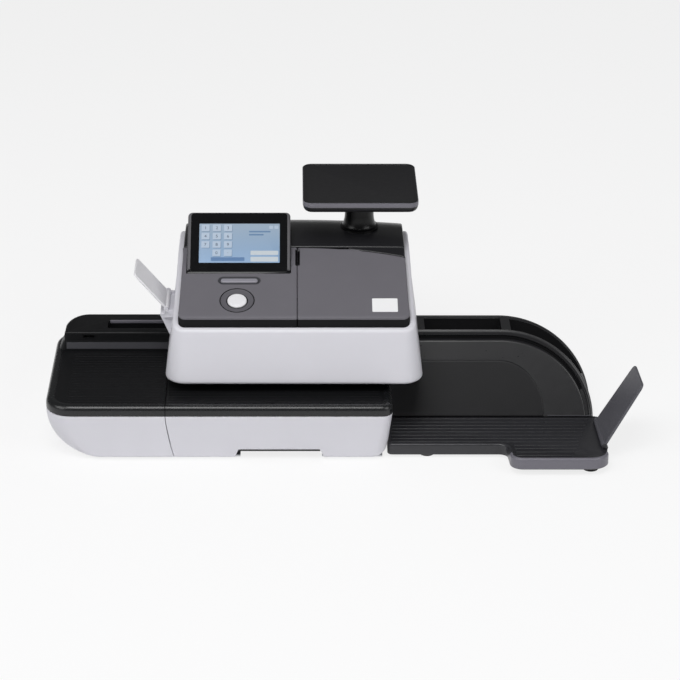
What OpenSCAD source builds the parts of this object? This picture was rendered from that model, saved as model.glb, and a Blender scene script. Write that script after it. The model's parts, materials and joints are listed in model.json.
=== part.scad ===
// Desktop postage meter: feed deck, printing head, tilting display, scale and catch tray.
// Laid out from the middle of the head (x), the front of the base (y) and the desk (z),
// then moved so that the origin is the middle of the footprint on the desk.

/* [Base] */
// Width of the base from end to end
base_w = 395; // [380:1:420]
// Reach of the base to the right of the head's middle
base_right = 112; // [108:1:120]
// Depth from the base front to the back of the machine
base_depth = 268; // [262:1:290]
// Width of the left module
module_w = 137; // [120:1:150]
// Depth of the left module
module_depth = 203; // [190:1:230]
// Height of the deck above the desk
deck_z = 68; // [66:0.5:74]
// Height of the black band along the deck's edge
deck_band = 12.5; // [10:0.5:15]
// Thickness of the deck plates
deck_t = 3; // [2.5:0.1:3.4]
// Wall of the base shells and housings
shell_wall = 2.6; // [2:0.1:3.2]
// Thickness of the base pan
pan_t = 2.5; // [2:0.1:3]
// Radius of the left end, seen from the front
end_r = 50; // [40:1:52]
// Plan radius of the left corners
plan_r = 30; // [20:1:40]
// Plan radius of the right front corner
right_r = 12; // [8:1:16]
// How far the right end draws in towards the desk
end_taper = 8; // [4:0.5:10]
// Distance from the base front to the guide wall
wall_y = 147; // [146:1:152]
// Height of the guide housing above the deck
guide_h = 22; // [20:1:30]
// Inset of the guide housing from the module's end
guide_inset = 2; // [1:0.5:4]
// Distance of the storage slot from the module's end
slot_start = 59; // [50:1:70]
// Distance of the storage slot behind the guide wall
slot_back = 15; // [12:1:20]
// Width of the storage slot in the guide housing
slot_w = 18; // [14:1:20]
// Depth of the storage slot
slot_depth = 12; // [8:1:14]
// Gap between neighbouring covers
seam_gap = 0.5; // [0.3:0.1:0.8]

/* [Feet] */
// Height of the rubber feet
foot_h = 3; // [2.5:0.1:4]
// Radius of the rubber feet
foot_r = 9; // [6:0.5:11]
// Radius of the stem that plugs a foot into the base
stem_r = 2.5; // [2:0.1:3]
// Length of that stem
stem_h = 2.4; // [1.5:0.1:2.5]
// Distance of the feet from the base's edges
foot_inset = 30; // [26:1:34]
// Distance of the front feet from the base front
foot_front = 40; // [40:1:46]

/* [Grip notch and transport release] */
// Left end of the grip notch
notch_x0 = -61; // [-64:1:-56]
// Right end of the grip notch
notch_x1 = 32; // [28:1:36]
// Height of the notch above the desk
notch_z = 9.9; // [8:0.1:12]
// Depth of the finger space behind the notch
notch_depth = 32; // [30:1:36]
// Distance of the release lever's pivot from the base front
lever_y = 18; // [17:0.5:20]
// Height of the release lever's pivot
lever_z = 42; // [40:0.5:43]
// Radius of the lever's hub
lever_hub_r = 4.5; // [4:0.1:5]
// Thickness of the lever plate
lever_t = 3; // [2.5:0.1:4]
// Width of the lever plate
lever_w = 74; // [60:1:80]
// Height of the lever's tip above the desk
lever_tip_z = 6; // [5:0.5:8]
// Length of the arm that presses the transport down
lever_arm = 20; // [18:0.5:21]
// Radius of the lever's pivot pin
lever_pin_r = 2; // [1.5:0.1:2.5]
// Thickness of the posts that carry the pin
post_t = 3.5; // [3:0.5:5]

/* [Letter transport] */
// Position of the entry rollers along the machine
feed_in_x = -75; // [-80:1:-70]
// Position of the exit rollers along the machine
feed_out_x = 85; // [84:1:88]
// Radius of the drive rollers
roller_r = 14; // [13:0.5:14.5]
// How far the drive rollers stand above the deck
roller_rise = 0.8; // [0.5:0.1:1.2]
// Length of one drive roller
roller_len = 20; // [16:1:22]
// Front edges of the two drive rollers on a shaft
roller_y = [72, 112];
// Radius of the drive shafts
shaft_r = 4; // [3.5:0.1:4.5]
// Wall of the shaft bushes
bush_wall = 2; // [1.5:0.1:2.5]
// Sheet thickness of the transport frame
frame_t = 2.5; // [2:0.1:3]
// Height of the frame's bottom plate above the desk
frame_z = 20; // [19:0.5:22]
// Position of the frame's front plate
frame_y0 = 60; // [59:0.5:62]
// Position of the frame's rear plate
frame_y1 = 150; // [149.5:0.5:151]
// Radius of the belt pulleys
pulley_r = 7.5; // [7:0.1:8]
// Thickness of the belt
belt_t = 1.3; // [1:0.1:1.5]
// Width of the belt
belt_w = 6; // [5:0.5:7]
// Gear module of the drive
gear_m = 1; // [0.95:0.01:1.02]
// Teeth of the drive gear
gear_z = 38; // [36:1:38]
// Teeth of the motor pinion
pinion_z = 18; // [17:1:19]
// Face width of the gears
gear_w = 6; // [5:0.5:7]
// Direction of the motor below the exit shaft
motor_dir = 230; // [226:1:236]
// Radius of the motor
motor_r = 16; // [14:0.5:16.5]
// Length of the motor
motor_len = 44; // [36:1:48]
// Radius of the motor's shaft
motor_shaft_r = 2; // [1.5:0.1:2.5]
// Radius of the guide posts
guide_post_r = 3; // [2.5:0.1:3.5]
// Wall of the spring sleeves on the guide posts
spring_wall = 2; // [1.5:0.1:2.5]

/* [Head] */
// Width of the head at its lower edge
head_w = 291; // [289:1:294]
// Distance of the head's lower front edge from the base front
head_front = 33.5; // [31:0.5:35]
// Clear height of the letter throat
throat_h = 11.5; // [10.5:0.1:12]
// Draft of the head's sides in degrees
draft = 6.4; // [6:0.1:6.8]
// Plan radius of the head's lower corners
corner_r = 24; // [20:0.5:26]
// Wall of the head shell
head_wall = 3; // [2.5:0.1:3.2]
// Thickness of the head floor
floor_t = 3; // [2.5:0.1:3.5]
// Width of the white rim at the sides
rim_side = 8.5; // [8:0.1:9]
// Width of the white rim at the front
rim_front = 5; // [4.5:0.1:6]
// Depth of the white rim below the covers
rim_drop = 9; // [8:0.1:10]
// Depth of the covers' skirts inside the rim
skirt = 2.5; // [2:0.1:2.8]
// Width of the ledge that carries the covers
ledge_w = 3; // [2.6:0.1:3.2]
// Thickness of the ledge that carries the covers
ledge_t = 2; // [1.5:0.1:2.2]

/* [Covers] */
// Distance of the covers' front top edge from the base front
panel_y = 47; // [46:0.5:48]
// Height of the covers' front top edge above the desk
panel_z = 155; // [152:0.5:158]
// Slope of the control panel in degrees
slope = 19; // [18.5:0.1:19.5]
// Length of the slope up to the rear seam
panel_len = 122; // [120:0.5:124]
// Radius of the hump behind the rear seam
hump_r = 124; // [120:1:128]
// Thickness of the covers
cover_t = 3; // [2.5:0.1:3.2]
// Wall of the covers' sides
cover_wall = 2.4; // [2:0.1:2.5]
// Position of the seam between control panel and cartridge lid
seam_x = 3.7; // [3:0.1:5]
// Radius of the lid's hinge barrel
lid_barrel_r = 3; // [2.6:0.1:3.2]
// Radius of the lid's hinge pin
lid_pin_r = 1.5; // [1.2:0.1:1.6]
// Length of the hinge lugs at both ends of the lid
lug_len = 4.4; // [4:0.1:5]

/* [Rear sockets] */
// Middle of the mains inlet along the machine
inlet_x = -96; // [-98:1:-92]
// Height of the mains inlet's middle above the desk
inlet_z = 34; // [32:1:36]
// Width of the mains inlet
inlet_w = 28; // [26:0.5:28]
// Height of the mains inlet
inlet_h = 20; // [18:0.5:22]
// Depth of the mains inlet
inlet_d = 24; // [20:1:26]
// Middle of the data sockets along the machine
socket_x = 5; // [2:1:8]
// Width of the block of data sockets
socket_w = 44; // [40:1:48]
// Height of the block of data sockets
socket_h = 16; // [14:0.5:18]
// Depth of the block of data sockets
socket_d = 22; // [18:1:24]
// Number of vent slots
vent_count = 9; // [5:1:9]
// Height of a vent slot
vent_h = 26; // [20:1:30]

/* [Display] */
// Width of the display
display_w = 113; // [108:0.5:113]
// Middle of the display along the machine
display_x = -62.5; // [-62.5:0.5:-62]
// Length of the display from its pivot to its top edge
display_len = 78; // [70:0.5:78]
// Thickness of the display
display_t = 13; // [12:0.1:13.5]
// Distance of the display's pivot along the panel slope
display_p = 80.6; // [80.2:0.1:82]
// Depth of the display's pivot below the panel surface
display_q = 5.5; // [5:0.1:6]
// Tilt of the display's face against the desk in degrees
display_tilt = 35.3; // [30:0.1:45]
// Radius of the display's hinge pin
display_pin_r = 2; // [1.6:0.1:2.4]
// Clearance around the display in its cradle
display_clear = 0.8; // [0.7:0.1:0.9]
// Wall of the display's cradle
cradle_wall = 1.2; // [1:0.1:1.3]
// Width of the picture on the display
lcd_w = 95; // [90:0.5:98]
// Height of the picture on the display
lcd_h = 54; // [50:0.5:56]
// Distance of the picture's middle from the pivot
lcd_mid = 36; // [34:0.5:38]
// Thickness of the display glass
glass_t = 1.5; // [1.2:0.1:2]
// Width of the housing's edge around the glass
glass_margin = 2; // [1.5:0.1:3]
// Radius of the display's upper corners
display_r = 5; // [3:0.5:7]

/* [Keys] */
// Middle of the start button along the machine
start_x = -65; // [-68:0.5:-62]
// Distance of the start button along the panel slope
start_p = 31.5; // [30:0.5:33]
// Radius of the start button
start_r = 11; // [10:0.1:12]
// Radius of the ring around the start button
ring_r = 20; // [18:0.1:21]
// Travel of the start button
start_travel = 2; // [1.5:0.1:2]
// Middle of the option key along the machine
key_x = -63; // [-66:0.5:-60]
// Distance of the option key along the panel slope
key_p = 64.5; // [63.5:0.1:64.6]
// Length of the option key
key_l = 46; // [40:0.5:48]
// Width of the option key
key_w = 12.4; // [10:0.1:12.4]
// Running clearance around the keys
key_clear = 0.3; // [0.25:0.05:0.4]
// Depth of the key board's upper face below the panel
board_q = 12.4; // [12.3:0.1:13]
// Thickness of the circuit boards
board_t = 1.6; // [1.2:0.1:2]

/* [Label flap] */
// Front edge of the label flap
flap_y0 = 93; // [91:0.5:95]
// Width of the label flap from front to back
flap_w = 57; // [52:0.5:60]
// Length of the label flap from its hinge
flap_len = 56; // [45:0.5:60]
// Thickness of the label flap
flap_t = 2.5; // [2:0.1:3]
// Lean of the open label flap from the vertical
flap_lean = 40; // [35:0.5:45]
// Height of the flap's hinge above the desk
flap_z = 145; // [144:0.5:145.5]
// Distance of the flap's hinge from the head's middle
flap_x = 147; // [146.5:0.5:148]
// Radius of the flap's hinge barrel
flap_barrel_r = 3; // [2.8:0.1:3.2]
// Radius of the flap's hinge pin
flap_pin_r = 1.25; // [1:0.05:1.5]
// Clear height of the label slot
label_slot_h = 5.2; // [5:0.1:5.4]
// Depth of the label chute inside the head
chute_len = 26; // [20:1:30]

/* [Printing] */
// Left side of the print unit
print_x = 10; // [8:1:12]
// Width of the print unit
print_w = 52; // [48:1:54]
// Front side of the print unit
print_y = 62; // [60:1:64]
// Depth of the print unit
print_d = 76; // [70:1:80]
// Height of the print unit
print_h = 38; // [34:1:42]
// Wall of the print unit
print_wall = 3; // [2.5:0.1:4]
// Height of the ink cartridge
ink_h = 42; // [38:1:46]
// Radius of the pressure rollers
idler_r = 15; // [14.5:0.1:15.4]
// Radius of the pressure rollers' axles
idler_pin_r = 1.75; // [1.5:0.05:1.75]
// Gap between a pressure roller and its drive roller
nip_gap = 0.5; // [0.4:0.1:0.8]

/* [Scale] */
// Middle of the weighing pan along the machine
scale_x = 77; // [74:0.5:78]
// Middle of the weighing pan from the base front
scale_y = 212; // [206:0.5:214]
// Width of the weighing pan
scale_w = 134; // [124:1:140]
// Depth of the weighing pan
scale_d = 124; // [116:1:130]
// Height of the pan's upper face above the desk
scale_z = 255; // [252:0.5:262]
// Thickness of the weighing pan
scale_t = 12.5; // [11:0.1:14]
// How far the pan draws in at its underside
scale_bevel = 7; // [4:0.5:9]
// Radius of the column that carries the pan
column_r = 17; // [15:0.5:19]
// Radius of the column's foot
column_foot_r = 27; // [24:0.5:28]
// Gap under the column's foot
column_gap = 0.6; // [0.5:0.1:0.9]

/* [Catch tray] */
// Right edge of the tray from the head's middle
tray_x1 = 356; // [345:1:370]
// Distance from the base front to the foot of the tray wall
tray_y = 100; // [96:1:104]
// Height of the tray floor at the foot of the wall
tray_z = 4.5; // [4.2:0.1:6]
// Slope of the tray floor in degrees
tray_slope = 6.2; // [5:0.1:7]
// Depth of the tray floor in front of the wall
tray_depth = 93.5; // [88:0.5:100]
// Depth of the lobe in front of the wall
lobe_depth = 138.8; // [132:0.5:145]
// Width of the lobe
lobe_w = 108; // [100:1:114]
// Plan radius of the lobe's corners
lobe_r = 14; // [8:1:20]
// Thickness of the tray floor
tray_t = 3; // [2.5:0.1:3]
// Height of the lip along the tray's front
lip_h = 2.5; // [2:0.1:2.6]
// Width of that lip
lip_w = 4; // [3:0.5:5]
// Drop of the skirt below the tray's front edge
tray_skirt = 11; // [8:0.5:11.5]
// Height of the tray wall above the desk
stack_z = 89.5; // [80:0.5:96]
// Lean of the tray wall from the vertical in degrees
stack_lean = 33; // [30:0.5:35]
// Depth of the tray wall from front plate to rear plate
stack_d = 45; // [40:1:50]
// Length of the wall's rounded end
stack_round = 108; // [95:1:110]
// Thickness of the wall's plates
stack_t = 3; // [2.5:0.1:3.5]
// Depth of the channel in the wall's upper edge
stack_channel = 16; // [12:1:20]
// Position of the web across the channel
stack_web_x = 245; // [240:1:250]
// Thickness of that web
stack_web_t = 8; // [5:0.5:12]

/* [Letter stop] */
// Distance of the stop's hinge from the tray's right edge
stop_inset = 3; // [2.5:0.1:4]
// Height of the stop's hinge above the tray floor
stop_rise = 4; // [3.9:0.1:5]
// Rear end of the stop's barrel, forward of the wall's foot
stop_back = 24; // [22:1:28]
// Width of the stop at its hinge
stop_w = 81; // [74:1:84]
// Width of the stop at its top
stop_top_w = 62; // [54:1:66]
// Length of the stop from hinge to top
stop_len = 83.5; // [76:0.5:90]
// Thickness of the stop
stop_t = 3; // [2.5:0.1:3.5]
// Lean of the stop from the vertical in degrees
stop_lean = 29.5; // [24:0.5:34]
// Radius of the stop's barrel
stop_barrel_r = 3.5; // [3.2:0.1:3.6]
// Radius of the stop's hinge pin
stop_pin_r = 1.5; // [1.2:0.1:1.8]

/* [Fits] */
// Radial clearance of a pin or shaft in its hole
running = 0.05; // [0.02:0.01:0.08]
// Clearance between parts that are only placed side by side
loose = 0.3; // [0.2:0.05:0.4]

/* [Hidden] */
$fn = 64;
cut = 1;

// Places in the base
base_x0 = base_right - base_w;
base_x1 = base_right;
module_x1 = base_x0 + module_w;
main_x0 = module_x1 + seam_gap;
band_z = deck_z - deck_band;
floor_z = foot_h + pan_t;
inner_x0 = main_x0 + shell_wall + loose;
inner_x1 = base_x1 - shell_wall - loose;
inner_y1 = base_depth - shell_wall - loose;
dowel_r = 4;
dowel_z = foot_h + 22;
dowel_y = [50, wall_y - 10];
dowel_reach = 8;
bracket_h = 12;
boss_r = 5;
screw_r = 2;
screw_head_r = 4;
screw_head_h = 2;
screw_len = 18;
screw_hole = 20;
screw_clear = 0.2;
roller_clear = 2;
boss_x = [main_x0 + shell_wall + boss_r + loose, base_x1 - shell_wall - boss_r - loose];
boss_y = [wall_y + 32, base_depth - shell_wall - boss_r - loose];

// Places of the sockets, the vents and the board behind them
inlet_wall = 2;
inlet_chamfer = 5;
inlet_bottom = 8;
port_w = 14;
port_h = 10;
port_bottom = 4;
vent_pitch = 7;
vent_w = 3;
vent_x = socket_x + socket_w / 2 + 9;
vent_z = 46;
board_stand = 8;
board_z = floor_z + board_stand;
board_left = 34;
board_right = 36;
board_behind = 38;
board_edge = 2;
board_x0 = socket_x - board_left;
board_x1 = socket_x + board_right;
board_y0 = wall_y + board_behind;
board_y1 = base_depth - shell_wall - board_edge;
stand_r = 3;
stand_in = 4;
chip_s = 24;
chip_h = 4;
relay = [16, 12, 7];
supply_gap = 6;
supply_rise = 18;
terminal = 12;

// Places in the transport
shaft_z = deck_z + roller_rise - roller_r;
bush_flange = 1.5;
bush_flange_t = 1.2;
bush_r = shaft_r + running + bush_wall;
frame_x0 = feed_in_x - 25;
frame_x1 = feed_out_x + 18;
frame_top = shaft_z + bush_r + 1;
flange_t = 1;
shaft_end = 2;
belt_side = 0.5;
pulley_w = belt_w + 2 * belt_side;
pulley_y = frame_y0 - 4 - pulley_w;
gear_side = 3;
gear_y = frame_y1 + frame_t + gear_side;
motor_plate_y = gear_y + gear_w + 4;
motor_plate_w = 2 * motor_r + 4;
motor_screw_r = 1.5;
motor_screw_head = 2.5;
motor_screw_len = 6;
motor_shaft_in = 14;
gear_gap = gear_m * (gear_z + pinion_z) / 2;
motor_x = feed_out_x + gear_gap * cos(motor_dir);
motor_z = shaft_z + gear_gap * sin(motor_dir);
motor_screw_at = motor_r - 3;
post_x = [feed_in_x - 15, feed_out_x + 10];
post_y = [frame_y0 + 14, frame_y1 - 10];
post_top = frame_z + frame_t + 10;
spring_clear = 0.6;
lever_x = (notch_x0 + notch_x1) / 2;
lever_foot = 6;
lever_foot_h = 5;
lever_arm_w = 12;
lever_arm_t = 6;
tongue_w = 16;
tongue_gap = 0.6;
post_gap = 0.5;
post_d = 14;
post_rise = 6;

// Places in the head
head_z = deck_z + throat_h;
head_half = head_w / 2;
head_rear = base_depth;
draft_k = tan(draft);
crown_z = panel_z + panel_len * sin(slope) - hump_r * cos(slope) + hump_r;
cover_top = crown_z + 4;
taper_rise = draft_k * (cover_top - head_z);
seam_y = panel_y + panel_len * cos(slope);
lid_axis_p = panel_len - (lid_barrel_r * (1 + sin(slope)) + seam_gap) / cos(slope);
lid_x0 = seam_x + seam_gap / 2;
lid_x1 = head_half - draft_k * (crown_z - head_z) - rim_side - 2.5;

// Places in the display
display_half = display_t / 2;
cradle_half = display_w / 2 + display_clear;
cradle_p0 = display_p - display_half - display_clear;
cradle_p1 = display_p + display_len + display_clear + 0.2;
cradle_q = display_q + display_half + display_clear;
lcd_back = 0.5;
lcd_edge = 2;

// Places of the keys
ring_flange = 2;
ring_flange_t = 1.5;
start_proud = 0.6;
start_flange_t = 1.3;
key_proud = 0.8;
key_flange = 1;
key_flange_t = 1.4;
key_stem_r = 3;
switch_h = 1.5;
key_stem_q = board_q - switch_h - start_travel - loose;
stud_r = 2.5;
stud_x = 26;
stud_p = key_p - 14;

// Places of the label slot
flap_y1 = flap_y0 + flap_w;
flap_wall_x = head_half - draft_k * (flap_z - head_z);
sill_lug = 4;
sill_drop = 9;
sill_in = 1.5;
slot_side = 3;
label_z = flap_z + flap_barrel_r + 1.2;
chute_wall = 1.2;
chute_x0 = -flap_wall_x + head_wall + 1.6;

// Places of the pressure rollers
idler_z = deck_z + roller_rise + nip_gap + idler_r;
idler_y0 = roller_y[0];
idler_y1 = roller_y[1] + roller_len;
idler_lug_t = 3;
idler_lug_w = 12;
idler_side = 3;
idler_hub = 2.5;
window_margin = 1.2;

// Places of the print unit
print_z = head_z + floor_t;
print_floor = 8;
nozzle_x0 = print_x + 18;
nozzle_x1 = print_x + 34;
nozzle_y0 = print_y + 24;
nozzle_y1 = print_y + 54;
nozzle_clear = 1;
ink_grip = 6;
ink_grip_in = 20;

// Places of the scale
column_top = scale_z - scale_t - 2;
cell_z = head_z + 70;
cell_h = 16;
cell_d = 20;
cell_reach = 43;
cell_foot = 16;
stem_column_r = 8;
column_sink = 12;
column_step = 2;
column_flare = 8;
column_neck = 18;
seat_w = 80;
seat_d = 72;
pan_top_t = 3;
pan_edge = 5;
pan_r = 10;

// Places of the tray
tray_x0 = base_x1 + loose;
tray_top = tray_z + tray_depth * sin(tray_slope) + lip_h;
tray_floor_x0 = base_x1 - end_taper * (band_z - tray_top) / (band_z - foot_h) + 2 * loose;
tray_back = (tray_z - foot_h) * tan(stack_lean) + loose;
stop_x = tray_x1 - stop_inset;
stack_x1 = stack_web_x - 1 + stack_round;
tray_front_y = tray_y - lobe_depth * cos(tray_slope) - tray_skirt * sin(tray_slope);
stop_reach_x = stop_x + stop_len * sin(stop_lean) + stop_t / 2 * cos(stop_lean);
stop_lug = 5;
stop_pin_in = 0.5;

// Middle of the footprint
mid_x = (base_x0 + max(stop_reach_x, tray_x1)) / 2;
mid_y = (tray_front_y + max(base_depth, scale_y + scale_d / 2)) / 2;

// Feet under the base, then under the left module, the tray's legs and the tray's wall
foot_edge = 3;
leg_inset = 40;
lobe_leg = foot_r + lobe_r - foot_edge;
wall_boss_h = 10;
foot_places = [for (x = [main_x0 + foot_inset, base_x1 - end_taper - foot_inset],
    y = [foot_front, base_depth - foot_inset]) [x, y]];
module_foot_places = [for (y = [foot_inset, module_depth - foot_inset])
    [base_x0 + end_r + foot_r + foot_edge, y]];
leg_places = [[tray_x0 + leg_inset, tray_y - tray_depth + foot_r + foot_edge],
    [tray_x1 - lobe_leg, tray_y - lobe_depth + lobe_leg]];
wall_foot_places = [for (x = [tray_x0 + leg_inset, stack_x1 - foot_inset])
    [x, stack_edge(foot_h) + foot_r]];

white = [0.83, 0.83, 0.86];
grey = [0.36, 0.36, 0.39];
black = [0.09, 0.09, 0.10];
steel = [0.62, 0.63, 0.65];
rubber = [0.15, 0.15, 0.15];
green = [0.10, 0.36, 0.20];

module place() translate([-mid_x, -mid_y, 0]) children();

// A profile drawn in depth (x) and height (y), run across the machine
module across(x0, x1) translate([x0, 0, 0]) rotate([90, 0, 90]) linear_extrude(x1 - x0) children();

// A profile drawn in width (x) and height (y), run from front to back
module along(y0, y1) translate([0, y1, 0]) rotate([90, 0, 0]) linear_extrude(y1 - y0) children();

module upright(z0, z1) translate([0, 0, z0]) linear_extrude(z1 - z0) children();

module block(x0, y0, z0, x1, y1, z1) translate([x0, y0, z0]) cube([x1 - x0, y1 - y0, z1 - z0]);

// A round bar across the machine
module bar_x(r, x0, x1, y, z) translate([x0, y, z]) rotate([0, 90, 0]) cylinder(r = r, h = x1 - x0);

// A round bar from front to back
module bar_y(r, y0, y1, x, z) translate([x, y0, z]) rotate([-90, 0, 0]) cylinder(r = r, h = y1 - y0);

module corner_cut(r) difference() {
    translate([-cut, -cut]) square(r + cut);
    translate([r, r]) circle(r);
}

// A rectangle with a radius at each corner: front left, front right, back right, back left
module rounded(x0, y0, x1, y1, fl = 0, fr = 0, br = 0, bl = 0) difference() {
    translate([x0, y0]) square([x1 - x0, y1 - y0]);
    if (fl > 0) translate([x0, y0]) corner_cut(fl);
    if (fr > 0) translate([x1, y0]) mirror([1, 0]) corner_cut(fr);
    if (br > 0) translate([x1, y1]) rotate(180) corner_cut(br);
    if (bl > 0) translate([x0, y1]) mirror([0, 1]) corner_cut(bl);
}

module stadium(l, w) {
    square([l - w, w], center = true);
    for (s = [-1, 1]) translate([s * (l - w) / 2, 0]) circle(w / 2);
}

// The frame of the sloped control panel: y up the slope, z out of it
module on_panel() translate([0, panel_y, panel_z]) rotate([slope, 0, 0]) children();

// The frame of the display: y up its face, z out of it, origin on its pivot
module on_display() on_panel() translate([display_x, display_p, -display_q])
    rotate([display_tilt - slope, 0, 0]) children();

// The frame of the tray floor: y back along the floor, z out of it
module on_tray() translate([0, tray_y, tray_z]) rotate([-tray_slope, 0, 0]) children();

// Involute gear outline with its first tooth pointing along x
function inv_deg(a) = tan(a) * 180 / PI - a;
function flank(z, r) = let (rp = gear_m * z / 2, rb = rp * cos(20))
    90 / z - 3 / z + inv_deg(20) - inv_deg(acos(min(1, rb / r)));
function tooth(z, i) = let (
    rp = gear_m * z / 2, ra = rp + 0.95 * gear_m, rr = rp - 1.25 * gear_m,
    rs = max(rp * cos(20), rr + 0.05), steps = [0:3], c = 360 * i / z,
    up = [for (k = steps) let (r = rs + (ra - rs) * k / 3) [r, c - flank(z, r)]],
    down = [for (k = steps) let (r = ra - (ra - rs) * k / 3) [r, c + flank(z, r)]],
    foot0 = [rr, c - flank(z, rs)], foot1 = [rr, c + flank(z, rs)])
    [for (p = concat([foot0], up, down, [foot1])) [p[0] * cos(p[1]), p[0] * sin(p[1])]];
module gear_outline(z) polygon([for (i = [0:z - 1]) each tooth(z, i)]);

// Base

module left_body(inset, top) intersection() {
    upright(0, top) rounded(base_x0 + inset, inset, module_x1 - inset, module_depth - inset,
        fl = plan_r - inset, bl = plan_r - inset);
    along(-cut, module_depth + cut) rounded(base_x0 + inset, foot_h + inset, module_x1 + cut,
        deck_z + cut, fl = end_r - inset);
}

module left_shell() color(white) place() difference() {
    left_body(0, band_z);
    left_body(shell_wall, band_z + cut);
    for (y = dowel_y) bar_x(dowel_r, module_x1 - shell_wall - cut, module_x1 + cut, y, dowel_z);
}

module left_deck() color(black) place() difference() {
    upright(band_z, deck_z) rounded(base_x0, 0, module_x1, module_depth, fl = plan_r, bl = plan_r);
    upright(band_z - cut, deck_z - deck_t) rounded(base_x0 + shell_wall, shell_wall,
        module_x1 - shell_wall, module_depth - shell_wall,
        fl = plan_r - shell_wall, bl = plan_r - shell_wall);
}

module guide_housing() color(black) place() difference() {
    upright(deck_z, deck_z + guide_h) rounded(base_x0 + guide_inset, wall_y, module_x1,
        module_depth, bl = plan_r - guide_inset);
    block(base_x0 + slot_start, wall_y + slot_back, deck_z + guide_h - slot_depth, module_x1 + cut,
        wall_y + slot_back + slot_w, deck_z + guide_h + cut);
    upright(deck_z - cut, deck_z + guide_h - slot_depth - shell_wall) rounded(
        base_x0 + guide_inset + shell_wall, wall_y + shell_wall, module_x1 - shell_wall,
        module_depth - shell_wall, bl = plan_r - guide_inset - shell_wall);
}

module module_dowels() color(steel) place()
    for (y = dowel_y) bar_x(dowel_r, module_x1 - dowel_reach, main_x0 + dowel_reach, y, dowel_z);

module front_body(inset, z0, z1) intersection() {
    upright(z0, z1) rounded(main_x0 - (inset > 0 ? cut : 0), inset, base_x1 - inset,
        wall_y - seam_gap + (inset > 0 ? cut : 0), fr = right_r - inset);
    along(-cut, wall_y + 2 * cut) polygon([[main_x0 - cut, foot_h - cut],
        [base_x1 - end_taper - inset, foot_h - cut], [base_x1 - inset, band_z],
        [base_x1 - inset, deck_z + cut], [main_x0 - cut, deck_z + cut]]);
}

module front_shell() color(white) place() difference() {
    front_body(0, foot_h, band_z);
    front_body(shell_wall, foot_h - cut, band_z + cut);
    block(notch_x0, -cut, foot_h - cut, notch_x1, shell_wall + cut, notch_z);
}

module feed_deck() color(black) place() difference() {
    front_body(0, band_z, deck_z);
    front_body(shell_wall, band_z - cut, deck_z - deck_t);
    for (x = [feed_in_x, feed_out_x], y = roller_y)
        block(x - roller_r - roller_clear, y - roller_clear, deck_z - deck_t - cut,
            x + roller_r + roller_clear, y + roller_len + roller_clear, deck_z + cut);
}

module pan_hole(x, y, r) translate([x, y, foot_h - cut]) cylinder(r = r, h = pan_t + 2 * cut);

module base_pan() color(grey) place() {
    difference() {
        union() {
            block(inner_x0, shell_wall + loose, foot_h, inner_x1 - end_taper - loose, wall_y, floor_z);
            upright(foot_h, floor_z) rounded(inner_x0, wall_y, inner_x1, inner_y1,
                br = right_r - shell_wall, bl = right_r - shell_wall);
            block(inner_x0, shell_wall + loose, foot_h, inner_x0 + pan_t, wall_y,
                dowel_z + bracket_h);
        }
        block(notch_x0, -cut, foot_h - cut, notch_x1, notch_depth, floor_z + cut);
        for (y = dowel_y) bar_x(dowel_r, inner_x0 - cut, inner_x0 + pan_t + cut, y, dowel_z);
        for (p = foot_places) pan_hole(p[0], p[1], stem_r);
        for (x = boss_x, y = boss_y) pan_hole(x, y, screw_r + screw_clear);
        for (x = post_x, y = post_y) pan_hole(x, y, guide_post_r);
    }
    for (x = [notch_x0 - post_t - post_gap, notch_x1 + post_gap]) difference() {
        block(x, lever_y - post_d / 2, floor_z, x + post_t, lever_y + post_d / 2, lever_z + post_rise);
        bar_x(lever_pin_r, x - cut, x + post_t + cut, lever_y, lever_z);
    }
}

module rubber_feet() color(rubber) place() {
    for (p = foot_places) translate([p[0], p[1], 0]) {
        cylinder(r = foot_r, h = foot_h);
        cylinder(r = stem_r, h = foot_h + stem_h);
    }
    for (p = concat(module_foot_places, leg_places, wall_foot_places)) translate([p[0], p[1], 0])
        cylinder(r = foot_r, h = foot_h);
}

module rear_housing() color(black) place() difference() {
    upright(foot_h, head_z) rounded(main_x0, wall_y, base_x1, base_depth, br = right_r, bl = right_r);
    difference() {
        upright(foot_h - cut, head_z - shell_wall) rounded(main_x0 + shell_wall,
            wall_y + shell_wall, base_x1 - shell_wall, base_depth - shell_wall,
            br = right_r - shell_wall, bl = right_r - shell_wall);
        for (x = boss_x, y = boss_y) translate([x, y, floor_z]) difference() {
            cylinder(r = boss_r, h = head_z - floor_z);
            translate([0, 0, -cut]) cylinder(r = screw_r + running, h = screw_hole);
        }
    }
    block(main_x0 + shell_wall, wall_y - cut, foot_h - cut, base_x1 - shell_wall,
        wall_y + shell_wall + cut, deck_z - deck_t);
    inlet_body(loose / 2);
    socket_body(loose / 2);
    for (i = [0:vent_count - 1]) translate([vent_x + i * vent_pitch, base_depth, vent_z])
        block(-vent_w / 2, -shell_wall - cut, -vent_h / 2, vent_w / 2, cut, vent_h / 2);
}

module case_screws() color(steel) place() for (x = boss_x, y = boss_y) translate([x, y, 0]) {
    translate([0, 0, foot_h - screw_head_h]) cylinder(r = screw_head_r, h = screw_head_h);
    translate([0, 0, foot_h - screw_head_h]) cylinder(r = screw_r, h = screw_len);
}

// Electrics in the rear of the base

module inlet_body(grow) block(inlet_x - inlet_w / 2 - grow, base_depth - inlet_d,
    inlet_z - inlet_h / 2 - grow, inlet_x + inlet_w / 2 + grow, base_depth + (grow > 0 ? cut : 0),
    inlet_z + inlet_h / 2 + grow);

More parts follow.
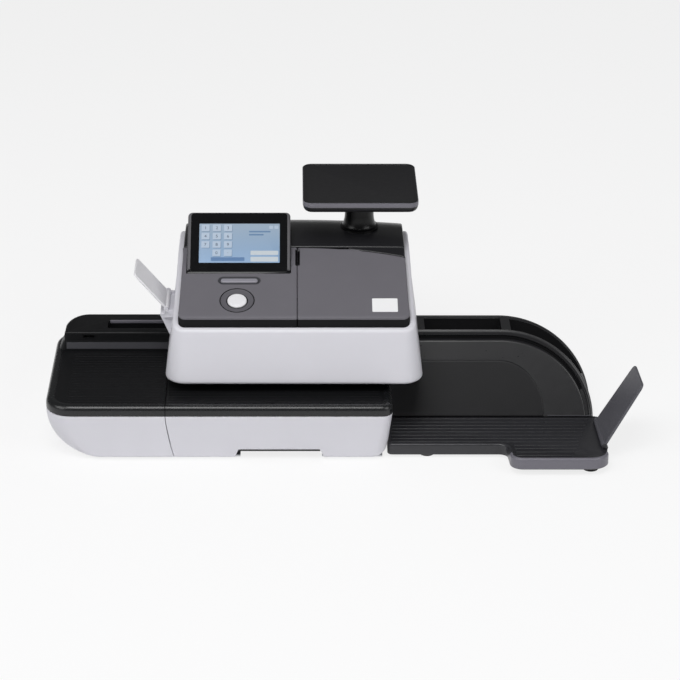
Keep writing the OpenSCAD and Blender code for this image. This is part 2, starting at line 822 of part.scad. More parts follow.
module mains_inlet() color(black) place() difference() {
    inlet_body(0);
    w = inlet_w / 2 - inlet_wall;
    h = inlet_h / 2 - inlet_wall;
    along(base_depth - inlet_d + inlet_bottom, base_depth + cut) translate([inlet_x, inlet_z])
        polygon([[-w, -h], [w, -h], [w, h - inlet_chamfer], [w - inlet_chamfer, h],
            [inlet_chamfer - w, h], [-w, h - inlet_chamfer]]);
}

module socket_body(grow) block(socket_x - socket_w / 2 - grow, base_depth - socket_d,
    board_z + board_t - grow, socket_x + socket_w / 2 + grow, base_depth + (grow > 0 ? cut : 0),
    board_z + board_t + socket_h + grow);

module data_sockets() color(steel) place() difference() {
    socket_body(0);
    for (i = [-1, 1]) translate([socket_x + i * socket_w / 4, 0, board_z + board_t + socket_h / 2])
        block(-port_w / 2, base_depth - socket_d + port_bottom, -port_h / 2, port_w / 2,
            base_depth + cut, port_h / 2);
}

module main_board() color(green) place() {
    block(board_x0, board_y0, board_z, board_x1, board_y1, board_z + board_t);
    for (x = [board_x0 + stand_in, board_x1 - stand_in], y = [board_y0 + stand_in, board_y1 - stand_in])
        translate([x, y, floor_z]) cylinder(r = stand_r, h = board_stand);
    translate([board_x0 + 3 * stand_in, board_y0 + 2 * stand_in, board_z + board_t])
        cube([chip_s, chip_s, chip_h]);
    translate([board_x1 - 5 * stand_in, board_y0 + 3 * stand_in, board_z + board_t]) cube(relay);
}

module power_supply() color(steel) place() {
    block(boss_x[0] + boss_r + supply_gap, board_y0, floor_z, board_x0 - supply_gap,
        base_depth - inlet_d - supply_gap, inlet_z + supply_rise);
    block(inlet_x - terminal, base_depth - inlet_d - supply_gap, inlet_z - terminal / 2,
        inlet_x + terminal, base_depth - inlet_d, inlet_z + terminal / 2);
}

// Letter transport on its sprung frame

module transport_frame() color(steel) place() difference() {
    union() {
        block(frame_x0, frame_y0, frame_z, frame_x1, motor_plate_y, frame_z + frame_t);
        block(frame_x0, frame_y0, frame_z, frame_x1, frame_y0 + frame_t, frame_top);
        block(frame_x0, frame_y1, frame_z, frame_x1, frame_y1 + frame_t, frame_top);
        block(motor_x - motor_plate_w / 2, motor_plate_y, frame_z, motor_x + motor_plate_w / 2,
            motor_plate_y + frame_t, motor_z + motor_r);
        translate([0, 0, lever_z - lever_arm_t / 2 - tongue_gap]) block(lever_x - tongue_w / 2,
            lever_y + lever_arm - 2, -frame_t, lever_x + tongue_w / 2, frame_y0 + cut, 0);
    }
    for (x = [feed_in_x, feed_out_x]) bar_y(bush_r, frame_y0 - cut, frame_y1 + frame_t + cut, x, shaft_z);
    bar_y(motor_shaft_r + 1, motor_plate_y - cut, motor_plate_y + frame_t + cut, motor_x, motor_z);
    for (s = [-1, 1]) bar_y(motor_screw_r + running, motor_plate_y - cut, motor_plate_y + frame_t + cut,
        motor_x + s * motor_screw_at, motor_z);
    for (x = post_x, y = post_y) translate([x, y, frame_z - cut])
        cylinder(r = guide_post_r + running, h = frame_t + 2 * cut);
}

module guide_posts() color(steel) place() for (x = post_x, y = post_y)
    translate([x, y, foot_h]) cylinder(r = guide_post_r, h = post_top - foot_h);

module lift_springs() color(steel) place() for (x = post_x, y = post_y)
    translate([x, y, floor_z]) difference() {
        cylinder(r = guide_post_r + spring_clear + spring_wall, h = frame_z - floor_z);
        translate([0, 0, -cut]) cylinder(r = guide_post_r + spring_clear, h = frame_z);
    }

module shaft_bushes() color("goldenrod") place()
    for (x = [feed_in_x, feed_out_x], y = [frame_y0, frame_y1]) difference() {
        union() {
            bar_y(bush_r, y, y + frame_t, x, shaft_z);
            bar_y(bush_r + bush_flange, y - bush_flange_t, y, x, shaft_z);
        }
        bar_y(shaft_r + running, y - bush_flange_t - cut, y + frame_t + cut, x, shaft_z);
    }

module drive_shaft(x, y1) color(steel) place() bar_y(shaft_r, pulley_y - shaft_end, y1, x, shaft_z);
module drive_shaft_in() drive_shaft(feed_in_x, frame_y1 + frame_t + shaft_end);
module drive_shaft_out() drive_shaft(feed_out_x, gear_y + gear_w + shaft_end);

module drive_rollers(x) color(rubber) place() for (y = roller_y) difference() {
    bar_y(roller_r, y, y + roller_len, x, shaft_z);
    bar_y(shaft_r, y - cut, y + roller_len + cut, x, shaft_z);
}
module drive_rollers_in() drive_rollers(feed_in_x);
module drive_rollers_out() drive_rollers(feed_out_x);

module pulley(x) color(white) place() difference() {
    union() {
        bar_y(pulley_r, pulley_y, pulley_y + pulley_w, x, shaft_z);
        bar_y(pulley_r + flange_t, pulley_y - flange_t, pulley_y, x, shaft_z);
    }
    bar_y(shaft_r, pulley_y - flange_t - cut, pulley_y + pulley_w + cut, x, shaft_z);
}
module pulley_in() pulley(feed_in_x);
module pulley_out() pulley(feed_out_x);

module belt_loop(r) {
    translate([feed_in_x, shaft_z - r]) square([feed_out_x - feed_in_x, 2 * r]);
    for (x = [feed_in_x, feed_out_x]) translate([x, shaft_z]) circle(r);
}
module timing_belt() color(rubber) place() along(pulley_y + belt_side,
    pulley_y + belt_side + belt_w) difference() {
    belt_loop(pulley_r + loose / 2 + belt_t);
    belt_loop(pulley_r + loose / 2);
}

module gear_body(z, bore, turn) rotate([-90, 0, 0]) difference() {
    linear_extrude(gear_w) rotate(turn) gear_outline(z);
    translate([0, 0, -cut]) cylinder(r = bore, h = gear_w + 2 * cut);
}
module drive_gear() color("ivory") place() translate([feed_out_x, gear_y, shaft_z])
    gear_body(gear_z, shaft_r, -motor_dir);
module motor_pinion() color("goldenrod") place() translate([motor_x, gear_y, motor_z])
    gear_body(pinion_z, motor_shaft_r, 180 - motor_dir + 180 / pinion_z);
module motor_shaft() color(steel) place()
    bar_y(motor_shaft_r, gear_y - flange_t, motor_plate_y + frame_t + motor_shaft_in, motor_x, motor_z);
module drive_motor() color(grey) place() difference() {
    bar_y(motor_r, motor_plate_y + frame_t, motor_plate_y + frame_t + motor_len, motor_x, motor_z);
    bar_y(motor_shaft_r + running, motor_plate_y, motor_plate_y + frame_t + motor_shaft_in + cut,
        motor_x, motor_z);
    for (s = [-1, 1]) bar_y(motor_screw_r, motor_plate_y, motor_plate_y + frame_t + motor_screw_len,
        motor_x + s * motor_screw_at, motor_z);
}
module motor_screws() color(steel) place() for (s = [-1, 1])
    translate([motor_x + s * motor_screw_at, 0, motor_z]) {
        bar_y(motor_screw_r, motor_plate_y - screw_head_h, motor_plate_y + frame_t + motor_screw_len, 0, 0);
        bar_y(motor_screw_head, motor_plate_y - screw_head_h, motor_plate_y, 0, 0);
    }

module release_lever() color(grey) place() difference() {
    union() {
        bar_x(lever_hub_r, notch_x0, notch_x1, lever_y, lever_z);
        block(lever_x - lever_w / 2, lever_y - lever_t / 2, lever_tip_z, lever_x + lever_w / 2,
            lever_y + lever_t / 2, lever_z);
        block(lever_x - lever_w / 2, lever_y - lever_foot / 2, lever_tip_z, lever_x + lever_w / 2,
            lever_y + lever_foot / 2, lever_tip_z + lever_foot_h);
        block(lever_x - lever_arm_w / 2, lever_y, lever_z - lever_arm_t / 2, lever_x + lever_arm_w / 2,
            lever_y + lever_arm, lever_z + lever_arm_t / 2);
    }
    bar_x(lever_pin_r + running, notch_x0 - cut, notch_x1 + cut, lever_y, lever_z);
}
module lever_pin() color(steel) place()
    bar_x(lever_pin_r, notch_x0 - post_t - post_gap, notch_x1 + post_t + post_gap, lever_y, lever_z);

// Head

// A box with drafted sides and round corners; its sizes hold at the head's lower edge
module drafted_box(side, front, rear, z0, z1) {
    r = max(corner_r - side, taper_rise + 1);
    a0 = draft_k * (z0 - head_z);
    a1 = draft_k * (z1 - head_z);
    w = head_half - side - r;
    hull() for (x = [-w, w], y = [head_front + front + r, head_rear - rear - r]) translate([x, y, z0])
        cylinder(r1 = r - a0, r2 = r - a1, h = z1 - z0, $fn = 32);
}

// The side view of the head's top: the panel slope, then the hump
module crown_profile(inset) translate([panel_y, panel_z]) rotate(slope) {
    translate([-200, -400]) square([200 + panel_len, 400 - inset]);
    translate([panel_len, -hump_r]) circle(hump_r - inset);
}
module crown(inset) across(-head_half - 20, head_half + 20) crown_profile(inset);

module head_shell() color(white) place() difference() {
    intersection() {
        drafted_box(0, 0, 0, head_z, cover_top);
        crown(rim_drop);
    }
    intersection() {
        drafted_box(head_wall, head_wall, head_wall, head_z - cut, cover_top);
        crown(rim_drop + skirt + ledge_t);
    }
    difference() {
        drafted_box(rim_side - seam_gap, rim_front - seam_gap, rim_side - seam_gap, head_z, cover_top);
        crown(rim_drop + skirt);
    }
    drafted_box(rim_side + ledge_w, rim_front + ledge_w, rim_side + ledge_w, head_z, cover_top);
    label_opening();
}

module label_opening() block(-head_half - cut, flap_y0 + slot_side, label_z, chute_x0 + cut,
    flap_y1 - slot_side, label_z + label_slot_h);

module head_floor() color(black) place() difference() {
    drafted_box(head_wall + loose, head_wall + loose, head_wall + loose, head_z, head_z + floor_t);
    for (x = [feed_in_x, feed_out_x]) block(x - idler_r - window_margin, idler_y0 - window_margin,
        head_z - cut, x + idler_r + window_margin, idler_y1 + window_margin, head_z + floor_t + cut);
    block(nozzle_x0 - nozzle_clear, nozzle_y0 - nozzle_clear, head_z - cut, nozzle_x1 + nozzle_clear,
        nozzle_y1 + nozzle_clear, head_z + floor_t + cut);
}

module cover_shell(depth) difference() {
    intersection() {
        drafted_box(rim_side, rim_front, rim_side, head_z, cover_top);
        crown(0);
    }
    intersection() {
        drafted_box(rim_side + cover_wall, rim_front + cover_wall, rim_side + cover_wall, head_z,
            cover_top);
        crown(cover_t);
    }
    crown(depth);
}

module cradle_well() on_panel() block(display_x - cradle_half, cradle_p0, -cradle_q,
    display_x + cradle_half, cradle_p1, 40);

module control_panel() color(grey) place() {
    difference() {
        intersection() {
            cover_shell(rim_drop + skirt);
            block(-head_half, 0, head_z, seam_x - seam_gap / 2, seam_y - seam_gap / 2, crown_z + 10);
        }
        cradle_well();
        on_panel() translate([start_x, start_p, -cover_t - cut]) cylinder(r = ring_r, h = cover_t + 2 * cut);
        on_panel() translate([key_x, key_p, -cover_t - cut]) linear_extrude(cover_t + 2 * cut)
            stadium(key_l + 2 * key_clear, key_w + 2 * key_clear);
    }
    on_panel() for (x = [start_x - stud_x, start_x + stud_x]) translate([x, stud_p, -board_q])
        cylinder(r = stud_r, h = board_q - cover_t / 2);
}

module rear_hood() color(black) place() difference() {
    union() {
        difference() {
            intersection() {
                cover_shell(rim_drop + skirt);
                block(-head_half, seam_y + seam_gap / 2, head_z, head_half, base_depth, crown_z + 10);
            }
            cradle_well();
            translate([scale_x, scale_y, head_z]) cylinder(r = stem_column_r + 2.5, h = crown_z);
        }
        for (x = [lid_x0, lid_x1 - lug_len]) lid_lug(x, x + lug_len - loose);
    }
    on_panel() bar_x(lid_pin_r, lid_x0 - cut, lid_x1 + cut, lid_axis_p, -lid_barrel_r);
}

module lid_lug(x0, x1) on_panel() {
    bar_x(lid_barrel_r, x0, x1, lid_axis_p, -lid_barrel_r);
    block(x0, lid_axis_p, -2 * lid_barrel_r, x1, panel_len + seam_gap + 2, -lid_barrel_r);
}

module cartridge_lid() color(grey) place() difference() {
    union() {
        difference() {
            intersection() {
                cover_shell(rim_drop + 1);
                block(lid_x0, 0, head_z, head_half, seam_y, crown_z + 10);
            }
            on_panel() block(lid_x0 - cut, lid_axis_p, -60, head_half, panel_len + 20, 20);
            for (x = [lid_x0, lid_x1 - lug_len]) on_panel()
                bar_x(lid_barrel_r + loose, x - cut, x + lug_len, lid_axis_p, -lid_barrel_r);
            on_panel() block(lid_x1 - lug_len - loose, lid_axis_p - lid_barrel_r - loose, -60,
                head_half, panel_len, 20);
        }
        on_panel() bar_x(lid_barrel_r, lid_x0 + lug_len, lid_x1 - lug_len - loose, lid_axis_p, -lid_barrel_r);
        on_panel() block(lid_x0, 4, -rim_drop, lid_x0 + cover_wall, lid_axis_p - 8, -cover_t / 2);
    }
    on_panel() bar_x(lid_pin_r + running, lid_x0 - cut, lid_x1 + cut, lid_axis_p, -lid_barrel_r);
}

module lid_pin() color(steel) place() on_panel()
    bar_x(lid_pin_r, lid_x0, lid_x1 - loose, lid_axis_p, -lid_barrel_r);

// Display in its cradle

module display_cradle() color(black) place() difference() {
    intersection() {
        on_panel() block(display_x - cradle_half - cradle_wall, cradle_p0 - cradle_wall,
            -cradle_q - cradle_wall, display_x + cradle_half + cradle_wall, cradle_p1 + cradle_wall, 0);
        crown(cover_t + 0.2);
    }
    cradle_well();
    on_panel() bar_x(display_pin_r, display_x - cradle_half - cradle_wall - cut,
        display_x + cradle_half + cradle_wall + cut, display_p, -display_q);
}

module display_pin() color(steel) place() on_panel() translate([display_x, 0, 0])
    bar_x(display_pin_r, -cradle_half - cradle_wall, cradle_half + cradle_wall, display_p, -display_q);

module display_plan(inset) rounded(-display_w / 2 + inset, 0, display_w / 2 - inset, display_len - inset,
    br = display_r - inset, bl = display_r - inset);

module glass_pocket(inset) upright(display_half - glass_t, display_half + (inset > 0 ? 0 : cut)) rounded(
    -display_w / 2 + glass_margin + inset, glass_margin + inset, display_w / 2 - glass_margin - inset,
    display_len - glass_margin - inset, br = display_r - glass_margin, bl = display_r - glass_margin);

module lcd_pocket(edge, top) block(-lcd_w / 2 - edge, lcd_mid - lcd_h / 2 - edge, lcd_back,
    lcd_w / 2 + edge, lcd_mid + lcd_h / 2 + edge, top);

module display_housing() color(black) place() on_display() difference() {
    union() {
        upright(-display_half, display_half) display_plan(0);
        bar_x(display_half, -display_w / 2, display_w / 2, 0, 0);
    }
    glass_pocket(0);
    lcd_pocket(lcd_edge, display_half);
    bar_x(display_pin_r + running, -display_w, display_w, 0, 0);
}
module lcd_panel() color("lightsteelblue") place() on_display()
    lcd_pocket(lcd_edge - running, display_half - glass_t);
module display_glass() color("darkslategray") place() on_display() glass_pocket(running);

// Keys on the control panel

module start_ring() color(black) place() on_panel() translate([start_x, start_p, -cover_t]) difference() {
    union() {
        cylinder(r = ring_r - running, h = cover_t);
        translate([0, 0, -ring_flange_t]) cylinder(r = ring_r + ring_flange, h = ring_flange_t);
    }
    translate([0, 0, -ring_flange_t - cut])
        cylinder(r = start_r + key_clear, h = cover_t + ring_flange_t + 2 * cut);
}

module start_button() color(white) place() on_panel() translate([start_x, start_p, -cover_t]) {
    under = ring_flange_t + loose;
    translate([0, 0, -under]) cylinder(r = start_r, h = cover_t + under + start_proud);
    translate([0, 0, -under - start_flange_t]) cylinder(r = start_r + ring_flange, h = start_flange_t);
    translate([0, 0, cover_t - key_stem_q]) cylinder(r = key_stem_r, h = key_stem_q - cover_t);
}

module option_key() color(grey) place() on_panel() translate([key_x, key_p, -cover_t]) {
    translate([0, 0, -loose]) linear_extrude(cover_t + loose + key_proud) stadium(key_l, key_w);
    translate([0, 0, -loose - key_flange_t]) linear_extrude(key_flange_t)
        stadium(key_l + 2 * key_flange, key_w + 2 * key_flange);
    translate([0, 0, cover_t - key_stem_q]) cylinder(r = key_stem_r, h = key_stem_q - cover_t);
}

module key_board() color(green) place() on_panel() translate([0, 0, -board_q]) {
    block(start_x - stud_x - 2 * stud_r, start_p - 3 * key_stem_r, -board_t, start_x + stud_x + 2 * stud_r,
        cradle_p0 - cradle_wall - cut, 0);
    for (at = [[start_x, start_p], [key_x, key_p]]) translate(at) cylinder(r = key_stem_r, h = switch_h);
}

// Label slot with its flap

module label_sill() color(white) place() difference() {
    union() {
        block(-flap_x, flap_y0, flap_z - sill_drop, sill_in - flap_wall_x, flap_y1,
            flap_z - flap_barrel_r - loose);
        for (y = [flap_y0, flap_y1 - sill_lug]) {
            bar_y(flap_barrel_r, y, y + sill_lug, -flap_x, flap_z);
            block(-flap_x - flap_barrel_r, y, flap_z - sill_drop, sill_in - flap_wall_x, y + sill_lug,
                flap_z);
        }
    }
    bar_y(flap_pin_r, flap_y0 - cut, flap_y1 + cut, -flap_x, flap_z);
    drafted_box(-loose, -loose, -loose, head_z, crown_z);
}

// The flap turns on its own two journals in the sill's lugs
module label_flap() color(white) place() {
    bar_y(flap_barrel_r, flap_y0 + sill_lug + loose, flap_y1 - sill_lug - loose, -flap_x, flap_z);
    bar_y(flap_pin_r - running, flap_y0 + loose, flap_y1 - loose, -flap_x, flap_z);
    translate([-flap_x, 0, flap_z]) rotate([0, -flap_lean, 0])
        along(flap_y0 + sill_lug + loose, flap_y1 - sill_lug - loose)
            translate([-flap_t / 2, flap_barrel_r / 2]) square([flap_t, flap_len - flap_barrel_r / 2]);
}

module label_chute() color(black) place() difference() {
    block(chute_x0, flap_y0 + slot_side - chute_wall, label_z - chute_wall, chute_x0 + chute_len,
        flap_y1 - slot_side + chute_wall, label_z + label_slot_h + chute_wall);
    block(chute_x0 - cut, flap_y0 + slot_side, label_z, chute_x0 + chute_len - chute_wall,
        flap_y1 - slot_side, label_z + label_slot_h);
}

// Printing parts over the letter path

module print_unit() color(grey) place() difference() {
    union() {
        block(print_x, print_y, print_z, print_x + print_w, print_y + print_d, print_z + print_h);
        block(nozzle_x0, nozzle_y0, head_z + nozzle_clear, nozzle_x1, nozzle_y1, print_z);
    }
    block(print_x + print_wall, print_y + print_wall, print_z + print_floor, print_x + print_w - print_wall,
        print_y + print_d - print_wall, print_z + print_h + cut);
}

module ink_cartridge() color("dimgray") place() translate([print_x, print_y, print_z + print_floor]) {
    side = print_wall + loose;
    block(side, side, 0, print_w - side, print_d - side, ink_h);
    block(print_w / 2 - ink_grip / 2, ink_grip_in, ink_h, print_w / 2 + ink_grip / 2,
        print_d - ink_grip_in, ink_h + ink_grip);
}

module idler_axles() color(steel) place() for (x = [feed_in_x, feed_out_x]) {
    bar_y(idler_pin_r, idler_y0 - idler_side - idler_lug_t, idler_y1 + idler_side + idler_lug_t, x, idler_z);
    for (y = [idler_y0 - idler_side - idler_lug_t, idler_y1 + idler_side])
        block(x - idler_lug_w / 2, y, print_z, x + idler_lug_w / 2, y + idler_lug_t,
            idler_z + idler_lug_w / 2);
}

module idler(x) color(rubber) place() difference() {
    union() {
        for (y = roller_y) bar_y(idler_r, y, y + roller_len, x, idler_z);
        bar_y(idler_pin_r + idler_hub, idler_y0, idler_y1, x, idler_z);
    }
    bar_y(idler_pin_r + running, idler_y0 - cut, idler_y1 + cut, x, idler_z);
}
module idler_in() idler(feed_in_x);
module idler_out() idler(feed_out_x);

// Scale

module scale_column() color(black) place() {
    difference() {
        translate([scale_x, scale_y, crown_z]) rotate_extrude() polygon([[0, -column_sink],
            [column_foot_r, -column_sink], [column_foot_r, column_step],
            [column_r + column_step, column_flare], [column_r, column_neck],
            [column_r, column_top - crown_z + loose], [0, column_top - crown_z + loose]]);
        crown(-column_gap);
    }
    translate([scale_x, scale_y, cell_z + cell_h])
        cylinder(r = stem_column_r, h = crown_z - cell_z - cell_h + 2);
    block(scale_x - seat_w / 2, scale_y - seat_d / 2, column_top, scale_x + seat_w / 2, scale_y + seat_d / 2,
        scale_z - pan_top_t - loose);
    block(scale_x - cell_d / 2, scale_y - cell_d / 2, cell_z, scale_x + cell_reach, scale_y + cell_d / 2,
        cell_z + cell_h);
    block(scale_x + cell_reach - cell_foot, scale_y - cell_d / 2, print_z, scale_x + cell_reach,
        scale_y + cell_d / 2, cell_z);
}

module pan_plan(inset, r) rounded(scale_x - scale_w / 2 + inset, scale_y - scale_d / 2 + inset,
    scale_x + scale_w / 2 - inset, scale_y + scale_d / 2 - inset, fl = r, fr = r, br = r, bl = r);

module weighing_pan() color(black) place() difference() {
    hull() {
        upright(scale_z - pan_edge, scale_z) pan_plan(0, pan_r, $fn = 32);
        upright(scale_z - scale_t, scale_z - scale_t + loose) pan_plan(scale_bevel, pan_r, $fn = 32);
    }
    block(scale_x - seat_w / 2 - loose, scale_y - seat_d / 2 - loose, scale_z - scale_t - cut,
        scale_x + seat_w / 2 + loose, scale_y + seat_d / 2 + loose, scale_z - pan_top_t);
}

// Catch tray

module tray_plan(inset) {
    rounded(tray_floor_x0, -tray_depth + inset, tray_x1 - inset, -tray_back);
    rounded(tray_x1 - lobe_w + inset, -lobe_depth + inset, tray_x1 - inset, -tray_depth + lobe_r + 5,
        fl = lobe_r, fr = lobe_r);
}

module tray_floor() color(black) place() {
    on_tray() difference() {
        union() {
            upright(-tray_t, 0) tray_plan(0);
            upright(-tray_skirt, lip_h) difference() {
                tray_plan(0);
                tray_plan(lip_w);
                translate([tray_x1 - lip_w - cut, -stop_back - stop_w - 2 * stop_lug])
                    square([lip_w + 2 * cut, stop_w + stop_back + 2 * stop_lug]);
            }
            for (y = [-stop_back, -stop_back - stop_w - stop_lug]) {
                bar_y(stop_barrel_r, y + loose, y + stop_lug - loose, stop_x, stop_rise);
                block(stop_x - stop_barrel_r, y + loose, -tray_t, stop_x + stop_barrel_r,
                    y + stop_lug - loose, stop_rise);
            }
        }
        bar_y(stop_pin_r, -stop_back - stop_w - stop_lug, -stop_back + stop_lug, stop_x, stop_rise);
        upright(-tray_skirt - cut, -tray_t) translate([tray_floor_x0 - cut, -3 * lip_w])
            square([tray_x1, 3 * lip_w]);
    }
    difference() {
        for (p = leg_places) translate([p[0], p[1], foot_h]) cylinder(r = foot_r, h = tray_depth);
        on_tray() block(tray_floor_x0 - cut, -2 * lobe_depth, -tray_t / 2, tray_x1 + lobe_w, lobe_depth,
            2 * tray_depth);
    }
}

function stack_edge(z) = tray_y + (z - tray_z) * tan(stack_lean);
module stack_side(inset, top) polygon([[stack_edge(foot_h - cut) + inset, foot_h - cut],
    [stack_edge(top) + inset, top], [stack_edge(top) + stack_d - inset, top],
    [stack_edge(foot_h - cut) + stack_d - inset, foot_h - cut]]);
module stack_front(inset) {
    a = stack_round - inset;
    h = stack_z - foot_h - inset;
    translate([0, foot_h]) polygon(concat([[tray_x0 + inset, 0]], [[tray_x0 + inset, h]],
        [for (t = [90:-4.5:0]) [stack_x1 - stack_round + a * cos(t), h * sin(t)]]));
}

module stack_body() intersection() {
    across(tray_x0, stack_x1) stack_side(0, stack_z + cut);
    along(0, base_depth) stack_front(0);
}

module tray_wall() color(black) place() {
    difference() {
        stack_body();
        difference() {
            across(tray_x0 + stack_t, stack_x1 + cut) stack_side(stack_t, stack_z + 3 * cut);
            along(0, base_depth) stack_front(stack_channel);
            block(stack_web_x, 0, 0, stack_web_x + stack_web_t, base_depth, stack_z + 4 * cut);
        }
        intersection() {
            across(tray_x0 - cut, stack_x1) stack_side(stack_t, stack_z);
            along(0, base_depth) translate([0, -cut]) stack_front(stack_channel + stack_t);
        }
        block(tray_x0 - cut, 0, head_z - loose, head_half + loose, base_depth, stack_z + cut);
    }
    intersection() {
        for (p = wall_foot_places) translate([p[0], p[1], foot_h]) cylinder(r = foot_r, h = wall_boss_h);
        stack_body();
    }
}

// The stop turns on journals of its own, which snap into the tray's lugs
module letter_stop() color(grey) place() on_tray() translate([stop_x, 0, stop_rise]) {
    bar_y(stop_barrel_r, -stop_back - stop_w, -stop_back, 0, 0);
    bar_y(stop_pin_r - running, -stop_back - stop_w - stop_lug + stop_pin_in,
        -stop_back + stop_lug - stop_pin_in, 0, 0);
    rotate([0, stop_lean, 0]) translate([-stop_t / 2, -stop_back - stop_w / 2, 0]) rotate([90, 0, 90])
        linear_extrude(stop_t) polygon([[-stop_w / 2, 0], [stop_w / 2, 0],
            [stop_top_w / 2, stop_len], [-stop_top_w / 2, stop_len]]);
}

base_pan();
rubber_feet();
front_shell();
left_shell();
feed_deck();
left_deck();
guide_housing();
rear_housing();
module_dowels();
case_screws();
transport_frame();
guide_posts();
lift_springs();
shaft_bushes();
drive_shaft_in();
drive_rollers_in();
pulley_in();
drive_shaft_out();
drive_rollers_out();
pulley_out();
drive_gear();
timing_belt();
drive_motor();
motor_screws();
motor_shaft();
motor_pinion();
release_lever();
lever_pin();
power_supply();
main_board();
mains_inlet();
data_sockets();
head_shell();
head_floor();
control_panel();
rear_hood();
cartridge_lid();
lid_pin();
display_cradle();
display_pin();
display_housing();
lcd_panel();
display_glass();
start_ring();
start_button();
option_key();
key_board();
label_sill();
label_chute();
label_flap();
print_unit();
ink_cartridge();
idler_axles();
idler_in();
idler_out();
scale_column();
weighing_pan();
tray_floor();
tray_wall();
letter_stop();
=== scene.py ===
"""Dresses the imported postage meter: base, head, covers, display, keys, scale and catch tray.

Shapes are worked out as whole arrays in the machine's own millimetres, with x from the middle of the
head, y from the front of the base and z from the desk. The datum then lays them into the frame in metres.
"""

import json
import logging
import math
from dataclasses import dataclass
from enum import Enum
from typing import Sequence

import bmesh
import bpy
import numpy as np
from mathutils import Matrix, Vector


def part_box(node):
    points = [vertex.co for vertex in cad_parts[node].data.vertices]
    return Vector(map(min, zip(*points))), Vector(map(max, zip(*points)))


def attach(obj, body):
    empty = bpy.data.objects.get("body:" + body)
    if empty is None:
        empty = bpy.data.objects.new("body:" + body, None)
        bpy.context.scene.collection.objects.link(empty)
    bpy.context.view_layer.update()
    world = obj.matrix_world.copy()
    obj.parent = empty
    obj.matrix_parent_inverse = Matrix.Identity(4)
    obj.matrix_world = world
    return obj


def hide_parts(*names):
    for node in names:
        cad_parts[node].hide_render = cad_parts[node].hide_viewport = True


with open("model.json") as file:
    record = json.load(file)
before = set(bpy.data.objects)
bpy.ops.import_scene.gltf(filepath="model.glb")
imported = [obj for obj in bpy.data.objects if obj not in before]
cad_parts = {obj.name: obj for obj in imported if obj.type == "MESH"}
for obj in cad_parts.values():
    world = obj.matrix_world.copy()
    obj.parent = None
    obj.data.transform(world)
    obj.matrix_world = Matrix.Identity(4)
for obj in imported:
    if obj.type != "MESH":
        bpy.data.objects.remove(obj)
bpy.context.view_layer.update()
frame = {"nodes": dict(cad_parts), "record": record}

Array = np.ndarray
Object = bpy.types.Object
Colour = tuple[float, float, float]
Station = tuple[float, float]
Pair = tuple[float, float]
Corner = tuple[float, float, float]
Place = tuple[float, float, float]
Tile = tuple[float, float, float, float]
MM = 0.001
RIGHT_ANGLE = math.pi / 2
FULL_TURN = 2 * math.pi
MERGE_M = 2e-6
CRISP_DEGREES = 34.0
BEVEL_DEGREES = 40.0
CUT_PAST = 9.0
ARC_STEP = 0.14
SHARPEST = 0.2
RIM_FLAT = 1.15
ASKEW = np.array((0.3, 0.5, 0.8))
log = logging.getLogger("postage_meter")


# Frames and arrays


@dataclass(frozen=True)
class Datum:
    """Where the machine's own zero lies in the frame, in metres."""

    x: float
    y: float

    @classmethod
    def from_frame(cls) -> "Datum":
        """Takes x from the middle of the head shell and y from the front of the base."""
        low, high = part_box("head_shell")
        return cls((low.x + high.x) / 2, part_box("front_shell")[0].y)

    def metres(self, points: Array) -> Array:
        """Turns machine millimetres into metres in the frame."""
        return points * MM + np.array((self.x, self.y, 0.0))

    def joint(self, name: str) -> Array:
        """Gives a joint's place in machine millimetres."""
        found = next(j for j in frame["record"]["behaviour"]["joints"] if j["name"] == name)
        return (np.array(found["pos_m"]) - np.array((self.x, self.y, 0.0))) / MM


DATUM = Datum.from_frame()


@dataclass(frozen=True)
class Axes:
    """A local frame in machine millimetres: an origin and three directions."""

    origin: Array
    right: Array
    up: Array
    out: Array

    @classmethod
    def tilted(cls, origin: Sequence[float], degrees: float) -> "Axes":
        """Frame turned about x, so that its second direction climbs to the back by so many degrees."""
        sine, cosine = math.sin(math.radians(degrees)), math.cos(math.radians(degrees))
        return cls(np.array(origin, float), np.array((1.0, 0, 0)), np.array((0, cosine, sine)),
                   np.array((0, -sine, cosine)))

    def lay(self, local: Array) -> Array:
        """Places local points: origin + a * right + b * up + c * out."""
        return self.origin + local @ np.stack([self.right, self.up, self.out])

    def moved(self, a: float, b: float, c: float = 0.0) -> "Axes":
        """The same directions from another origin, given in this frame."""
        return Axes(self.lay(np.array((a, b, c))), self.right, self.up, self.out)

    def leaning(self, degrees: float) -> "Axes":
        """Frame whose out direction is this one's up, leant to the right by so many degrees."""
        sine, cosine = math.sin(math.radians(degrees)), math.cos(math.radians(degrees))
        return Axes(self.origin, self.up, sine * self.right + cosine * self.out,
                    cosine * self.right - sine * self.out)


UPRIGHT = Axes.tilted((0, 0, 0), 0)


def unit(vectors: Array) -> Array:
    """Scales each row to length one."""
    return vectors / np.maximum(np.linalg.norm(vectors, axis=-1, keepdims=True), 1e-9)


def smooth(share: Array) -> Array:
    """Smooth step: 3 s^2 - 2 s^3 of a share held between 0 and 1."""
    held = np.clip(share, 0, 1)
    return held * held * (3 - 2 * held)


def densify(path: Array, step: float, closed: bool = True) -> Array:
    """Splits each side of a path into equal parts no longer than step.

    Args:
        path: points of the path, one per row.
        step: the longest side allowed.
        closed: whether the last point joins the first.

    Returns:
        The path with its added points.
    """
    ahead = np.roll(path, -1, 0) - path
    parts = np.maximum(1, np.ceil(np.linalg.norm(ahead, axis=1) / step)).astype(int)
    parts[-1] = parts[-1] if closed else 1
    which = np.repeat(np.arange(len(path)), parts)
    share = (np.arange(parts.sum()) - np.repeat(np.cumsum(parts) - parts, parts)) / parts[which]
    return path[which] + share[:, None] * ahead[which]


